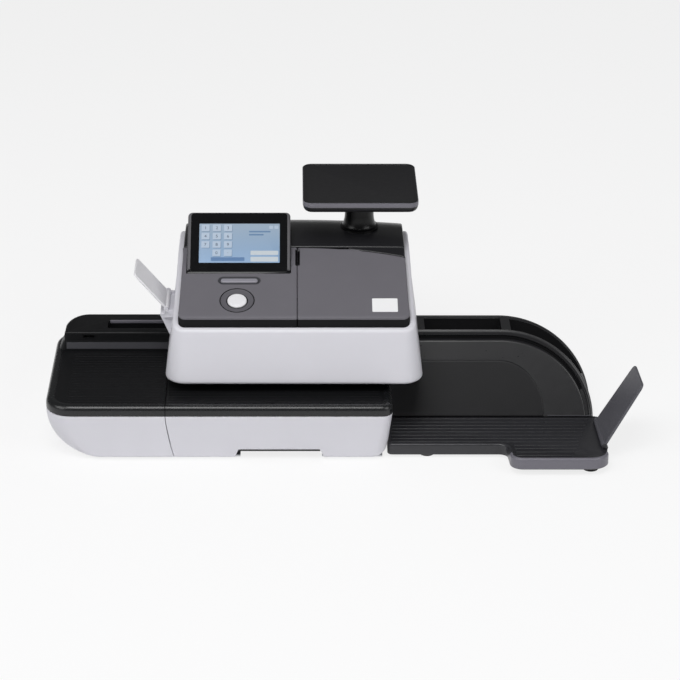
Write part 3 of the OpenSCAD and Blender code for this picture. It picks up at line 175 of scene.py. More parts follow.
def filleted(corners: Sequence[Corner], step: float = 4.0, closed: bool = True) -> Array:
    """Outline through corners, each rounded by an arc tangent to its two sides.

    Args:
        corners: x, y and radius of each corner, counterclockwise.
        step: the longest straight side before it is split.
        closed: whether the outline returns to its first corner.

    Returns:
        Points of the outline, one per row.
    """
    table = np.array(corners, float)
    point, radius = table[:, :2], table[:, 2:]
    back, ahead = unit(np.roll(point, 1, 0) - point), unit(np.roll(point, -1, 0) - point)
    half = np.arccos(np.clip((back * ahead).sum(1, keepdims=True), -1, 1)) / 2
    centre = point + unit(back + ahead) * radius / np.sin(half)
    start = point + back * radius / np.tan(half) - centre
    end = point + ahead * radius / np.tan(half) - centre
    first = np.arctan2(start[:, 1], start[:, 0])
    turn = (np.arctan2(end[:, 1], end[:, 0]) - first + math.pi) % FULL_TURN - math.pi
    arcs = []
    for middle, r, angle, sweep in zip(centre, radius[:, 0], first, turn):
        spread = angle + sweep * np.linspace(0, 1, 1 if r == 0 else max(3, int(abs(sweep) / ARC_STEP)))
        arcs.append(middle + r * np.stack([np.cos(spread), np.sin(spread)], 1))
    return densify(np.concatenate(arcs), step, closed)


def box_outline(x0: float, y0: float, x1: float, y1: float, radius: float, step: float = 4.0) -> Array:
    """Rounded rectangle, counterclockwise."""
    return filleted([(x0, y0, radius), (x1, y0, radius), (x1, y1, radius), (x0, y1, radius)], step)


def drawn(loop: Array, inset: float) -> Array:
    """Draws a closed loop in towards the middle of its box, so that its sides move by inset."""
    low, high = loop.min(0), loop.max(0)
    middle, half = (low + high) / 2, (high - low) / 2
    return middle + (loop - middle) * (1 - inset / half)


def miters(loop: Array) -> Array:
    """Outward offsets of a closed loop: the two side normals' sum over one plus their product."""
    edge = unit(np.roll(loop, -1, 0) - loop)
    after = np.stack([edge[:, 1], -edge[:, 0]], 1)
    before = np.roll(after, 1, 0)
    return (before + after) / np.maximum(1 + (before * after).sum(1, keepdims=True), SHARPEST)


def path_normals(path: Array) -> Array:
    """Normals to the right of an open path's direction of travel."""
    along = unit(np.gradient(path, axis=0))
    return np.stack([along[:, 1], -along[:, 0]], 1)


def soften(loop: Array, reach: int) -> Array:
    """Rounds a closed loop's corners: each point is the mean of its neighbours within reach."""
    return np.mean([np.roll(loop, shift, 0) for shift in range(-reach, reach + 1)], axis=0)


def quarter(start: Station, end: Station, count: int = 6, rise_first: bool = True) -> Array:
    """Quarter ellipse of stations that leaves start upright, or flat, and meets end square to that.

    Args:
        start: inset and height of the first station.
        end: inset and height of the last station.
        count: how many stations.
        rise_first: whether the height or the inset changes first.

    Returns:
        Stations, one per row.
    """
    angle = np.linspace(0, RIGHT_ANGLE, count)
    fast, slow = np.sin(angle), 1 - np.cos(angle)
    shares = np.stack([slow, fast] if rise_first else [fast, slow], 1)
    return np.array(start) + shares * (np.array(end) - np.array(start))


def rings(loop: Array, stations: Array) -> Array:
    """Carries stations of inset and height round a closed loop: loop - inset * miter."""
    flat = loop[None] - stations[:, :1, None] * miters(loop)[None]
    height = np.broadcast_to(stations[:, 1:, None], flat.shape[:2] + (1,))
    return np.concatenate([flat, height], -1)


def raised(loop: Array, level: float | Array) -> Array:
    """Puts plan points at one level, or each at its own."""
    return np.column_stack([loop, np.broadcast_to(level, len(loop))])


def swept(path: Array, stations: Array) -> Array:
    """Carries a closed profile of inset and height along an open path."""
    flat = path[:, None] - stations[None, :, :1] * path_normals(path)[:, None]
    height = np.broadcast_to(stations[None, :, 1:], flat.shape[:2] + (1,))
    return np.concatenate([flat, height], -1)


# Meshes


class Ends(Enum):
    """What happens at the first and last row of a grid."""

    OPEN = "open"
    CAPPED = "capped"
    LOOPED = "looped"


class Surface:
    """Gathers grids of points and turns them into one mesh."""

    def __init__(self) -> None:
        """Starts with no points and no faces."""
        self.points: list[Array] = []
        self.faces: list[list[int]] = []
        self.count = 0

    def grid(self, rows: Array, ends: Ends = Ends.CAPPED) -> "Surface":
        """Adds a tube of quads, each row closed on itself.

        Args:
            rows: points as rows by columns by 3, in machine millimetres.
            ends: what closes the first and the last row.

        Returns:
            This surface.
        """
        index = np.arange(rows.shape[0] * rows.shape[1]).reshape(rows.shape[:2]) + self.count
        here, across = index, np.roll(index, -1, 1)
        up, over = np.roll(here, -1, 0), np.roll(across, -1, 0)
        quads = np.stack([here, across, over, up], -1)
        kept = quads if ends is Ends.LOOPED else quads[:-1]
        self.faces += kept.reshape(-1, 4).tolist()
        if ends is Ends.CAPPED:
            self.faces += [index[0, ::-1].tolist(), index[-1].tolist()]
        self.points.append(rows.reshape(-1, 3))
        self.count += index.size
        return self

    def join(self, other: "Surface") -> "Surface":
        """Adds another surface's points and faces."""
        self.faces += [[index + self.count for index in face] for face in other.faces]
        self.points += other.points
        self.count += other.count
        return self

    def mesh(self, name: str) -> bpy.types.Mesh:
        """Makes the mesh, merges its poles and seams and turns its faces outwards."""
        mesh = bpy.data.meshes.new(name)
        mesh.from_pydata(DATUM.metres(np.concatenate(self.points)), [], self.faces)
        work = bmesh.new()
        work.from_mesh(mesh)
        bmesh.ops.remove_doubles(work, verts=work.verts, dist=MERGE_M)
        bmesh.ops.recalc_face_normals(work, faces=work.faces)
        work.to_mesh(mesh)
        work.free()
        return mesh


def linked(name: str, data: bpy.types.ID) -> Object:
    """Makes an object of some data in the scene."""
    made = bpy.data.objects.new(name, data)
    bpy.context.scene.collection.objects.link(made)
    return made


def evaluated(piece: Object) -> bpy.types.Mesh:
    """Gives a new mesh of an object as its modifiers or its curve leave it."""
    seen = piece.evaluated_get(bpy.context.evaluated_depsgraph_get())
    return bpy.data.meshes.new_from_object(seen)


def vertex_places(mesh: bpy.types.Mesh) -> Array:
    """Gives the places of a mesh's vertices, one per row."""
    place = np.empty(len(mesh.vertices) * 3)
    mesh.vertices.foreach_get("co", place)
    return place.reshape(-1, 3)


def plate(axes: Axes, loop: Array, low: float, high: float, edge: float) -> Surface:
    """Plate between two heights of a frame, with both rims rounded by quarter circles."""
    lower = quarter((edge, low), (0, low + edge), 5, rise_first=False)
    upper = quarter((0, high - edge), (edge, high), 5)
    flat = RIM_FLAT * edge
    stations = np.concatenate([[(flat, low)], lower, upper, [(flat, high)]])
    return Surface().grid(axes.lay(rings(loop, stations)))


def lathe(axes: Axes, profile: Sequence[Station], count: int = 64, ends: Ends = Ends.CAPPED) -> Surface:
    """Turns a profile of radius and height round a frame's out direction."""
    table = np.array(profile, float)
    angle = np.linspace(0, FULL_TURN, count, endpoint=False)
    radius, height = table[:, :1], np.broadcast_to(table[:, 1:], (len(table), count))
    return Surface().grid(axes.lay(np.stack([radius * np.cos(angle), radius * np.sin(angle), height], -1)),
                          ends)


def bar(start: Sequence[float], end: Sequence[float], radius: float, edge: float = 0.5) -> Surface:
    """Round bar between two points, with rounded ends."""
    first, last = np.array(start, float), np.array(end, float)
    out = unit(last - first)
    side = unit(np.cross(out, ASKEW))
    length = float(np.linalg.norm(last - first))
    profile = np.concatenate([quarter((radius - edge, 0), (radius, edge), 4, rise_first=False),
                              quarter((radius, length - edge), (radius - edge, length), 4)])
    return lathe(Axes(first, side, np.cross(out, side), out), profile, 32)


def block(axes: Axes, low: Sequence[float], high: Sequence[float], edge: float = 0.4) -> Surface:
    """Box between two corners of a frame, with rounded edges."""
    loop = box_outline(low[0], low[1], high[0], high[1], edge, 60)
    return plate(axes, loop, low[2], high[2], edge * 0.8)


# Finishes


def colour_blend(tree: bpy.types.NodeTree, first: Colour, second: Colour) -> bpy.types.Node:
    """Adds a blend from one colour to another."""
    blend = tree.nodes.new("ShaderNodeMix")
    blend.data_type = "RGBA"
    blend.inputs["A"].default_value = (*first, 1)
    blend.inputs["B"].default_value = (*second, 1)
    return blend


@dataclass(frozen=True)
class Finish:
    """A procedural surface: slow mottling of the colour, uneven gloss and a fine raised grain."""

    name: str
    slot: str
    colour: Colour
    roughness: float = 0.45
    metallic: float = 0.0
    specular: float = 0.5
    grain_mm: float = 0.45
    grain_depth_mm: float = 0.012
    mottle: float = 0.05
    mottle_mm: float = 40.0
    stretch: Place = (1.0, 1.0, 1.0)
    gloss_swing: float = 0.06
    grain_strength: float = 0.6

    def noise(self, tree: bpy.types.NodeTree, size_mm: float, detail: float) -> bpy.types.NodeSocket:
        """Adds noise of one size on Object coordinates and gives its factor."""
        nodes, links = tree.nodes, tree.links
        place = nodes.new("ShaderNodeMapping")
        place.inputs["Scale"].default_value = self.stretch
        links.new(nodes["Object place"].outputs["Object"], place.inputs["Vector"])
        noise = nodes.new("ShaderNodeTexNoise")
        noise.inputs["Scale"].default_value = 1 / (size_mm * MM)
        noise.inputs["Detail"].default_value = detail
        links.new(place.outputs["Vector"], noise.inputs["Vector"])
        return noise.outputs["Fac"]

    def material(self) -> bpy.types.Material:
        """Builds the material once and gives it again after that."""
        if self.name in bpy.data.materials:
            return bpy.data.materials[self.name]
        made = bpy.data.materials.new(self.name)
        made.use_nodes = True
        tree = made.node_tree
        nodes, links = tree.nodes, tree.links
        shader = nodes["Principled BSDF"]
        nodes.new("ShaderNodeTexCoord").name = "Object place"
        darker = tuple(c * (1 - self.mottle) for c in self.colour)
        lighter = tuple(min(1, c * (1 + self.mottle)) for c in self.colour)
        blend = colour_blend(tree, darker, lighter)
        links.new(self.noise(tree, self.mottle_mm, 4), blend.inputs["Factor"])
        links.new(blend.outputs["Result"], shader.inputs["Base Color"])
        gloss = nodes.new("ShaderNodeMapRange")
        gloss.inputs["To Min"].default_value = self.roughness - self.gloss_swing
        gloss.inputs["To Max"].default_value = self.roughness + self.gloss_swing
        links.new(self.noise(tree, self.mottle_mm / 6, 3), gloss.inputs["Value"])
        links.new(gloss.outputs["Result"], shader.inputs["Roughness"])
        bump = nodes.new("ShaderNodeBump")
        bump.inputs["Strength"].default_value = self.grain_strength
        bump.inputs["Distance"].default_value = self.grain_depth_mm * MM
        links.new(self.noise(tree, self.grain_mm, 2), bump.inputs["Height"])
        links.new(bump.outputs["Normal"], shader.inputs["Normal"])
        shader.inputs["Metallic"].default_value = self.metallic
        shader.inputs["Specular IOR Level"].default_value = self.specular
        self.finish_shader(made)
        return made

    def finish_shader(self, made: bpy.types.Material) -> None:
        """Leaves the shader as it is; lit finishes add to it."""


@dataclass(frozen=True)
class LitFinish(Finish):
    """A finish that also glows, as part of a lit screen."""

    glow: float = 0.5
    lower: Colour = (0.3, 0.5, 0.8)

    def finish_shader(self, made: bpy.types.Material) -> None:
        """Blends two colours up the piece's own map and lets them glow."""
        nodes, links = made.node_tree.nodes, made.node_tree.links
        shader = nodes["Principled BSDF"]
        place = nodes.new("ShaderNodeUVMap")
        parts = nodes.new("ShaderNodeSeparateXYZ")
        links.new(place.outputs["UV"], parts.inputs["Vector"])
        blend = colour_blend(made.node_tree, self.lower, self.colour)
        links.new(parts.outputs["Y"], blend.inputs["Factor"])
        links.new(blend.outputs["Result"], shader.inputs["Base Color"])
        links.new(blend.outputs["Result"], shader.inputs["Emission Color"])
        shader.inputs["Emission Strength"].default_value = self.glow


WHITE = Finish("white_shell_satin", "white_shell", (0.66, 0.655, 0.70), 0.38, mottle=0.02)
BUTTON = Finish("white_button_satin", "white_shell", (0.80, 0.795, 0.82), 0.35, mottle=0.02)
PAPER = Finish("label_paper", "white_shell", (0.86, 0.86, 0.87), 0.6, specular=0.2, mottle=0.01)
GREY = Finish("grey_cover_satin", "grey_cover", (0.145, 0.14, 0.157), 0.5, specular=0.2, mottle=0.05)
RING = Finish("ring_satin", "black_plastic", (0.11, 0.106, 0.12), 0.5, specular=0.2, mottle=0.05)
BLACK = Finish("black_satin", "black_plastic", (0.008, 0.0085, 0.0095), 0.27, grain_depth_mm=0.002,
               mottle=0.1)
DECK = Finish("deck_matte", "black_plastic", (0.0055, 0.0057, 0.0065), 0.42, specular=0.2, mottle=0.1)
# Near-black matt of the covers' skirts: partly their black plastic and partly painted shade under the
# covers' edges, darker and duller than the black plastic.
SKIRT_SHADE = Finish("skirt_painted_shade", "black_plastic", (0.006, 0.006, 0.007), 0.55, specular=0.15, mottle=0.1)
COLUMN = Finish("column_satin", "black_plastic", (0.003, 0.003, 0.0035), 0.3, specular=0.3, mottle=0.1)
HOOD = Finish("hood_satin", "black_plastic", (0.016, 0.016, 0.018), 0.3, specular=0.4,
              grain_depth_mm=0.006, mottle=0.1)
TRAY = Finish("tray_grain", "tray_plastic", (0.015, 0.015, 0.0165), 0.3, grain_depth_mm=0.003, mottle=0.05)
FLOOR = Finish("tray_floor_satin", "tray_plastic", (0.027, 0.027, 0.031), 0.3, grain_depth_mm=0.004,
               mottle=0.12)
FACE = Finish("tray_face_matte", "tray_plastic", (0.009, 0.009, 0.0102), 0.38, specular=0.3, mottle=0.12)
# Near-black matt sheets laid into recesses: the tray wall's channel and groove, and the seam relief. They
# are painted shade.
SHADE_SHEETS = Finish("shade_sheets_matte", "tray_plastic", (0.002, 0.002, 0.0025), 0.7, specular=0.08)
SLATE = Finish("slate_matte", "slate_plastic", (0.05, 0.05, 0.057), 0.5, specular=0.3, mottle=0.08)
STOP = Finish("stop_satin", "slate_plastic", (0.092, 0.091, 0.105), 0.45, specular=0.35, mottle=0.06)
# Light grey of the option key: painted highlight along its rounded top.
KEY_HIGHLIGHT = Finish("key_highlight_satin", "slate_plastic", (0.26, 0.255, 0.29), 0.42, mottle=0.04)
PAN = Finish("pan_satin", "slate_plastic", (0.009, 0.009, 0.0105), 0.34, specular=0.4, mottle=0.08)
# Light grey bands on the pan's edge, the guide slot's rear lip and the tray lobe's front: painted highlights
# and reflections on those edges.
HIGHLIGHT_BAND = Finish("pan_highlight_band_satin", "slate_plastic", (0.15, 0.145, 0.17), 0.36, mottle=0.04)
RUBBER = Finish("rubber_matte", "rubber", (0.022, 0.022, 0.022), 0.85, grain_mm=0.9, grain_depth_mm=0.04)
STEEL = Finish("steel_ground", "steel", (0.55, 0.56, 0.58), 0.3, 1.0, grain_mm=0.3, stretch=(0.05, 1, 1))
SHEET = Finish("steel_sheet", "sheet_steel", (0.48, 0.49, 0.51), 0.42, 1.0, mottle=0.12, mottle_mm=14)
BRONZE = Finish("bronze_sintered", "bronze", (0.52, 0.36, 0.17), 0.45, 1.0, grain_mm=0.35,
                grain_depth_mm=0.03)
ACETAL = Finish("acetal_natural", "gear_plastic", (0.74, 0.71, 0.62), 0.4)
BOARD = Finish("board_mask", "board", (0.02, 0.12, 0.05), 0.35, mottle=0.3, mottle_mm=6)
GLASS = Finish("glass_black", "glass", (0.004, 0.0042, 0.005), 0.14, specular=0.3, grain_depth_mm=0.0)
INK = Finish("cartridge_matte", "ink", (0.05, 0.05, 0.06), 0.55)
EDGE = Finish("display_edge_satin", "black_plastic", (0.10, 0.098, 0.106), 0.4, specular=0.4)
SCREEN = LitFinish("screen_sky", "screen", (0.25, 0.315, 0.39), 0.3, glow=0.3, lower=(0.155, 0.255, 0.40))
KEYS = LitFinish("screen_keys", "screen", (0.34, 0.40, 0.48), 0.3, glow=0.3, lower=(0.31, 0.385, 0.48))
SHADES = LitFinish("screen_shades", "screen", (0.13, 0.18, 0.26), 0.3, glow=0.2, lower=(0.095, 0.165, 0.27))
FIELD = LitFinish("screen_field", "screen", (0.11, 0.19, 0.31), 0.3, glow=0.2, lower=(0.085, 0.165, 0.31))
BLANK = LitFinish("screen_blank", "screen", (0.40, 0.44, 0.47), 0.3, glow=0.3, lower=(0.40, 0.44, 0.47))
MARKS = Finish("screen_marks", "screen", (0.03, 0.045, 0.09), 0.3)
BY_SLOT = {f.slot: f for f in (SCREEN, GLASS, INK, BOARD, ACETAL, BRONZE, SHEET, STEEL, RUBBER, SLATE, TRAY,
                               BLACK, GREY, WHITE)}


def settle(name: str, surface: Surface, finish: Finish, body: str = "machine",
           replaces: Sequence[str] = (), cuts: Sequence[Surface] = (), bevel: float = 0.0) -> Object:
    """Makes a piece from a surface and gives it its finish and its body.

    Args:
        name: the piece's name.
        surface: its shape.
        finish: its finish.
        body: the body that it rides on.
        replaces: the nodes that it stands for.
        cuts: closed surfaces that are taken out of it.
        bevel: width in millimetres of a bevel on the cut edges.

    Returns:
        The piece's object.
    """
    piece = linked(name + "_form" if name in frame["nodes"] else name, surface.mesh(name))
    for cut in cuts:
        carve(piece, cut)
    piece.data.materials.clear()
    piece.data.materials.append(finish.material())
    shade(piece.data, CRISP_DEGREES)
    if bevel:
        add_bevel(piece, bevel)
    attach(piece, body)
    if replaces:
        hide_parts(*replaces)
    log.info("piece %s: %d faces, on %s", name, len(piece.data.polygons), body)
    return piece


def carve(piece: Object, cut: Surface) -> None:
    """Takes a closed surface out of a piece and keeps the result as its mesh."""
    tool = linked("cutter", cut.mesh("cutter"))
    change = piece.modifiers.new("cut", "BOOLEAN")
    change.operation = "DIFFERENCE"
    change.solver = "EXACT"
    change.object = tool
    mesh = evaluated(piece)
    piece.modifiers.clear()
    old = piece.data
    piece.data = mesh
    bpy.data.meshes.remove(old)
    bpy.data.objects.remove(tool)


def shade(mesh: bpy.types.Mesh, degrees: float) -> None:
    """Shades a mesh smooth, with edges sharper than so many degrees kept crisp."""
    mesh.polygons.foreach_set("use_smooth", np.ones(len(mesh.polygons), bool))
    mesh.set_sharp_from_angle(angle=math.radians(degrees))


def add_bevel(piece: Object, width: float) -> None:
    """Rounds a piece's sharp edges by so many millimetres."""
    change = piece.modifiers.new("edges", "BEVEL")
    change.width = width * MM
    change.segments = 2
    change.limit_method = "ANGLE"
    change.angle_limit = math.radians(BEVEL_DEGREES)


# Head and covers


@dataclass
class Head:
    """The head: white shell with a raised rim, and the dark covers that lie in it."""

    half_width: float = 147.8
    front: float = 32.3
    rear: float = 268.0
    floor: float = 79.5
    draft: float = math.tan(math.radians(7.98))
    ease: float = 0.55
    corner: float = 24.0
    wall: float = 3.0
    rim_side: float = 6.0
    rim_front: float = 5.0
    rim_drop: float = 9.0
    rim_round: float = 3.0
    foot_round: float = 4.0
    ledge: float = 2.6
    ledge_w: float = 1.5
    ledge_foot: float = 5.0
    inner_drop: float = 9.0
    panel_y: float = 47.0
    panel_z: float = 155.0
    slope: float = 19.0
    panel_len: float = 122.0
    hump_r: float = 124.0
    crown: float = 4.6
    crown_half: float = 126.0
    crown_start: float = 150.0
    crown_run: float = 60.0
    cover_t: float = 3.0
    cover_round: float = 1.6
    cover_gap: float = 0.5
    skirt: float = 11.0
    skirt_back: float = 0.25
    skirt_lap: float = 0.4
    front_back: float = 3.6
    front_run: float = 24.0
    seam_x: float = 3.7
    seam_gap: float = 0.45
    seam_bow: float = 15.0
    seam_power: float = 2.2
    outline_step: float = 1.5
    tail_gap: float = 1.0
    tail_start: float = 64.0
    tail_round: float = 0.8
    tail_steps: int = 48
    hood_under: float = 1.0
    hood_skirt: float = 4.0
    slot_z: float = 149.2
    slot_h: float = 5.2
    slot_x: Pair = (-160.0, -120.0)
    slot_y: Pair = (96.0, 147.0)

    def __post_init__(self) -> None:
        """Works out the panel's frame, the hump's middle and the two rims of the plan."""
        angle = math.radians(self.slope)
        self.panel = Axes.tilted((0, self.panel_y, self.panel_z), self.slope)
        self.seam_y = self.panel_y + self.panel_len * math.cos(angle)
        self.hump_y = self.seam_y + self.hump_r * math.sin(angle)
        self.hump_z = self.panel_z + self.panel_len * math.sin(angle) - self.hump_r * math.cos(angle)
        self.plan = box_outline(-self.half_width, self.front, self.half_width, self.rear, self.corner, 3)
        self.out = miters(self.plan)
        deep = np.where(self.out[:, 1] < 0, self.rim_front, self.rim_side)
        self.rim = np.stack([self.out[:, 0] * self.rim_side, self.out[:, 1] * deep], 1)

    def height(self, x: Array, y: Array, drop: float | Array = 0.0) -> Array:
        """Top of the covers lowered by drop: a slope that runs into a hump, which is crowned across.

        Args:
            x: places across the head.
            y: places from front to back.
            drop: how far below the covers' face, square to it.

        Returns:
            Heights above the desk.
        """
        angle = math.radians(self.slope)
        radius = self.hump_r - drop
        slope = self.panel_z - drop / math.cos(angle) + (y - self.panel_y) * math.tan(angle)
        hump = self.hump_z + np.sqrt(np.maximum(radius ** 2 - (y - self.hump_y) ** 2, 1.0))
        fall = self.crown * (x / self.crown_half) ** 2 * smooth((y - self.crown_start) / self.crown_run)
        return np.where(y < self.hump_y - radius * math.sin(angle), slope, hump) - fall

    def lean(self, level: Array) -> Array:
        """How far the walls are drawn in at a level: the draft, eased off above the front rim."""
        return self.draft * (level - self.floor - self.ease * np.maximum(level - self.panel_z, 0))

    def rim_ring(self, share: float, inset: float, lower: float) -> Array:
        """Ring on the rim: share of its width in, inset more, and lower below its top, with the draft."""
        flat = self.plan
        level = np.zeros(len(flat))
        for _ in range(4):
            level = self.height(flat[:, 0], flat[:, 1], self.rim_drop) - lower
            flat = self.plan - self.out * (self.lean(level) + inset)[:, None] - self.rim * share
        return np.column_stack([flat, level])

    def wall_ring(self, share: float, inset: float, low: float, high: Array) -> Array:
        """Ring on the wall: share of the way from low up to high, drawn in by the draft."""
        level = low + share * (high - low)
        flat = self.plan - self.out * (self.lean(level) + inset)[:, None]
        return np.column_stack([flat, level])

    def shell(self) -> Surface:
        """White shell: a closed wall from the foot round, up the draft, over the rim and down inside."""
        top = self.rim_ring(0, 0, self.rim_round)[:, 2]
        level = np.full(len(self.plan), self.floor)
        rows = [self.wall_ring(0, self.wall, self.floor, level)]
        for inset, rise in quarter((self.foot_round, 0), (0, self.foot_round), 5, rise_first=False):
            rows.append(self.wall_ring(0, inset, self.floor + rise, level))
        foot = self.floor + self.foot_round
        rows += [self.wall_ring(share, 0, foot, top) for share in np.linspace(0.08, 1, 9)]
        for inset, rise in quarter((0, 0), (self.rim_round, self.rim_round), 7)[1:]:
            rows.append(self.rim_ring(0, inset, self.rim_round - rise))
        rows += [self.rim_ring(0.93, 0, 0), self.rim_ring(0.985, 0, 0.15), self.rim_ring(1, 0, 0.7)]
        rows += [self.rim_ring(1, 0, self.ledge), self.rim_ring(1, self.ledge_w, self.ledge + 0.3)]
        rows.append(self.rim_ring(1, self.ledge_w, self.ledge_foot))
        inside = top - self.inner_drop
        rows += [self.wall_ring(share, self.wall, foot, inside) for share in (1, 0.6, 0.2)]
        return Surface().grid(np.stack(rows), Ends.LOOPED)

    def seam(self, x: Array) -> Array:
        """Line between the grey covers and the black: straight at the left, bowed forward at the right."""
        across = np.maximum(x - self.seam_x, 0) / (self.crown_half - self.seam_x)
        return self.seam_y - self.seam_bow * across ** self.seam_power

    def cover_plan(self) -> Array:
        """Outline of all the covers together, just inside the rim."""
        return self.rim_ring(1, self.cover_gap, 0)[:, :2]

    def clipped(self, keep: Array, closing: Array) -> Array:
        """Stretch of the covers' outline where keep holds, closed by more points and with soft corners."""
        plan = self.cover_plan()
        start = int(np.flatnonzero(keep & ~np.roll(keep, 1))[0])
        run = np.roll(plan, -start, 0)[:int(keep.sum())]
        return soften(densify(np.concatenate([run, closing]), self.outline_step), 1)

    def laid(self, flat: Array, drop: float) -> Array:
        """Puts plan points on the covers' face, lowered by drop."""
        return np.column_stack([flat, self.height(flat[:, 0], flat[:, 1], drop)])

    def cover(self, loop: Array, under: float = 0.0) -> Surface:
        """Cover over an outline: face with a rounded edge and the same face below, each to a pole.

        Args:
            loop: the cover's outline.
            under: how far the lower edge is drawn in.

        Returns:
            A closed surface.
        """
        middle = (loop.min(0) + loop.max(0)) / 2
        inner, edge = drawn(loop, self.cover_t), drawn(loop, self.cover_round)
        shares = np.concatenate([np.linspace(0, 0.9, 12), [0.96, 1]])
        rows = [self.laid(middle + (inner - middle) * share, self.cover_t) for share in shares]
        rows.append(self.laid(drawn(loop, under), self.cover_t))
        for inset, rise in quarter((0, 0), (self.cover_round, self.cover_round), 6):
            rows.append(self.laid(drawn(loop, inset), self.cover_round - rise))
        rows += [self.laid(middle + (edge - middle) * share, 0) for share in shares[::-1]]
        return Surface().grid(np.stack(rows), Ends.OPEN)

    def set_back(self, loop: Array) -> Array:
        """Moves an outline's front edge back, by less and less behind it."""
        near = smooth((loop[:, 1].min() - loop[:, 1]) / self.front_run + 1)
        return loop + np.column_stack([np.zeros(len(loop)), self.front_back * near])

    def skirt_ring(self, loop: Array, foot: Array) -> Surface:
        """Skirt from below a cover's edge, set back a little, down to an outline of its foot."""
        outer, inner = drawn(loop, self.skirt_back), drawn(loop, self.cover_t)
        low, high = self.skirt, self.cover_t - self.skirt_lap
        rows = [self.laid(outer, high), self.laid(drawn(foot, self.skirt_back), low), self.laid(inner, low),
                self.laid(inner, high)]
        return Surface().grid(np.stack(rows), Ends.LOOPED)

    def panel_outline(self) -> Array:
        """Outline of the control panel, left of the seam."""
        x, y = self.seam_x - self.seam_gap / 2, self.seam_y - self.seam_gap / 2
        plan = self.cover_plan()
        keep = (plan[:, 0] < x) & (plan[:, 1] < y)
        left, front = plan[keep][:, 0].min(), plan[:, 1].min()
        return self.clipped(keep, np.array([(x, front), (x, y), (left + 1, y)]))

    def lid_outline(self) -> Array:
        """Outline of the lid, right of the seam and in front of the hood."""
        x = self.seam_x + self.seam_gap / 2
        plan = self.cover_plan()
        keep = (plan[:, 0] > x) & (plan[:, 1] < self.seam(plan[:, 0]) - self.tail_gap)
        across = np.linspace(plan[keep][:, 0].max() - 2, x, 24)
        line = np.column_stack([across, self.seam(across) - self.tail_gap])
        return self.clipped(keep, np.concatenate([line, [(x, plan[:, 1].min())]]))

    def hood_outline(self, behind: float = 0.0) -> Array:
        """Outline of the hood, so far behind the straight line of its front edge."""
        plan, y = self.cover_plan(), self.seam_y + self.seam_gap / 2 + behind
        keep = plan[:, 1] > y
        edge = plan[keep]
        return self.clipped(keep, np.array([(edge[:, 0].min() + 2, y), (edge[:, 0].max() - 2, y)]))

    def tail(self) -> Surface:
        """Black rear corner of the lid: from its bowed edge to a straight line in front of the hood.

        Returns:
            The corner's face with rounded edges, and the skirt below its right side.
        """
        edge, back, turn = self.tail_round, self.seam_y - self.tail_gap, self.cover_round
        plan = self.cover_plan()
        beside = (plan[:, 0] > 0) & (plan[:, 1] < back) & (plan[:, 1] > back - self.seam_bow)
        end = float(plan[beside][:, 0].min())
        corner = quarter((0, 0), (turn, turn), 6)[::-1]
        flat = np.linspace(self.tail_start, end - turn, self.tail_steps, endpoint=False)
        across = np.concatenate([flat, end - corner[:, 0]])
        lower = np.concatenate([np.zeros(self.tail_steps), turn - corner[:, 1]])
        front = self.seam(across) - self.tail_gap / 2
        inset = np.array((0, 0, 0.3, 1)) * edge
        share = np.concatenate([np.zeros(4), (0.25, 0.5, 0.75), np.ones(4), (0.75, 0.5, 0.25)])
        shift = np.concatenate([inset, np.zeros(3), -inset[::-1], np.zeros(3)])
        fall = np.array((self.cover_t, edge, 0.3 * edge, 0))
        drop = np.concatenate([fall, np.zeros(3), fall[::-1], np.full(3, self.cover_t)])
        y = front[:, None] + share * (back - front)[:, None] + shift
        x = np.broadcast_to(across[:, None], y.shape)
        made = Surface().grid(np.stack([x, y, self.height(x, y, np.maximum(drop, lower[:, None]))], -1))
        near, far = (np.array((front[-1], back)) - self.panel_y) / math.cos(math.radians(self.slope))
        return made.join(block(self.panel, (end - self.cover_t, near, -self.skirt),
                               (end - self.skirt_back, far, self.skirt_lap - self.cover_t), 0.2))


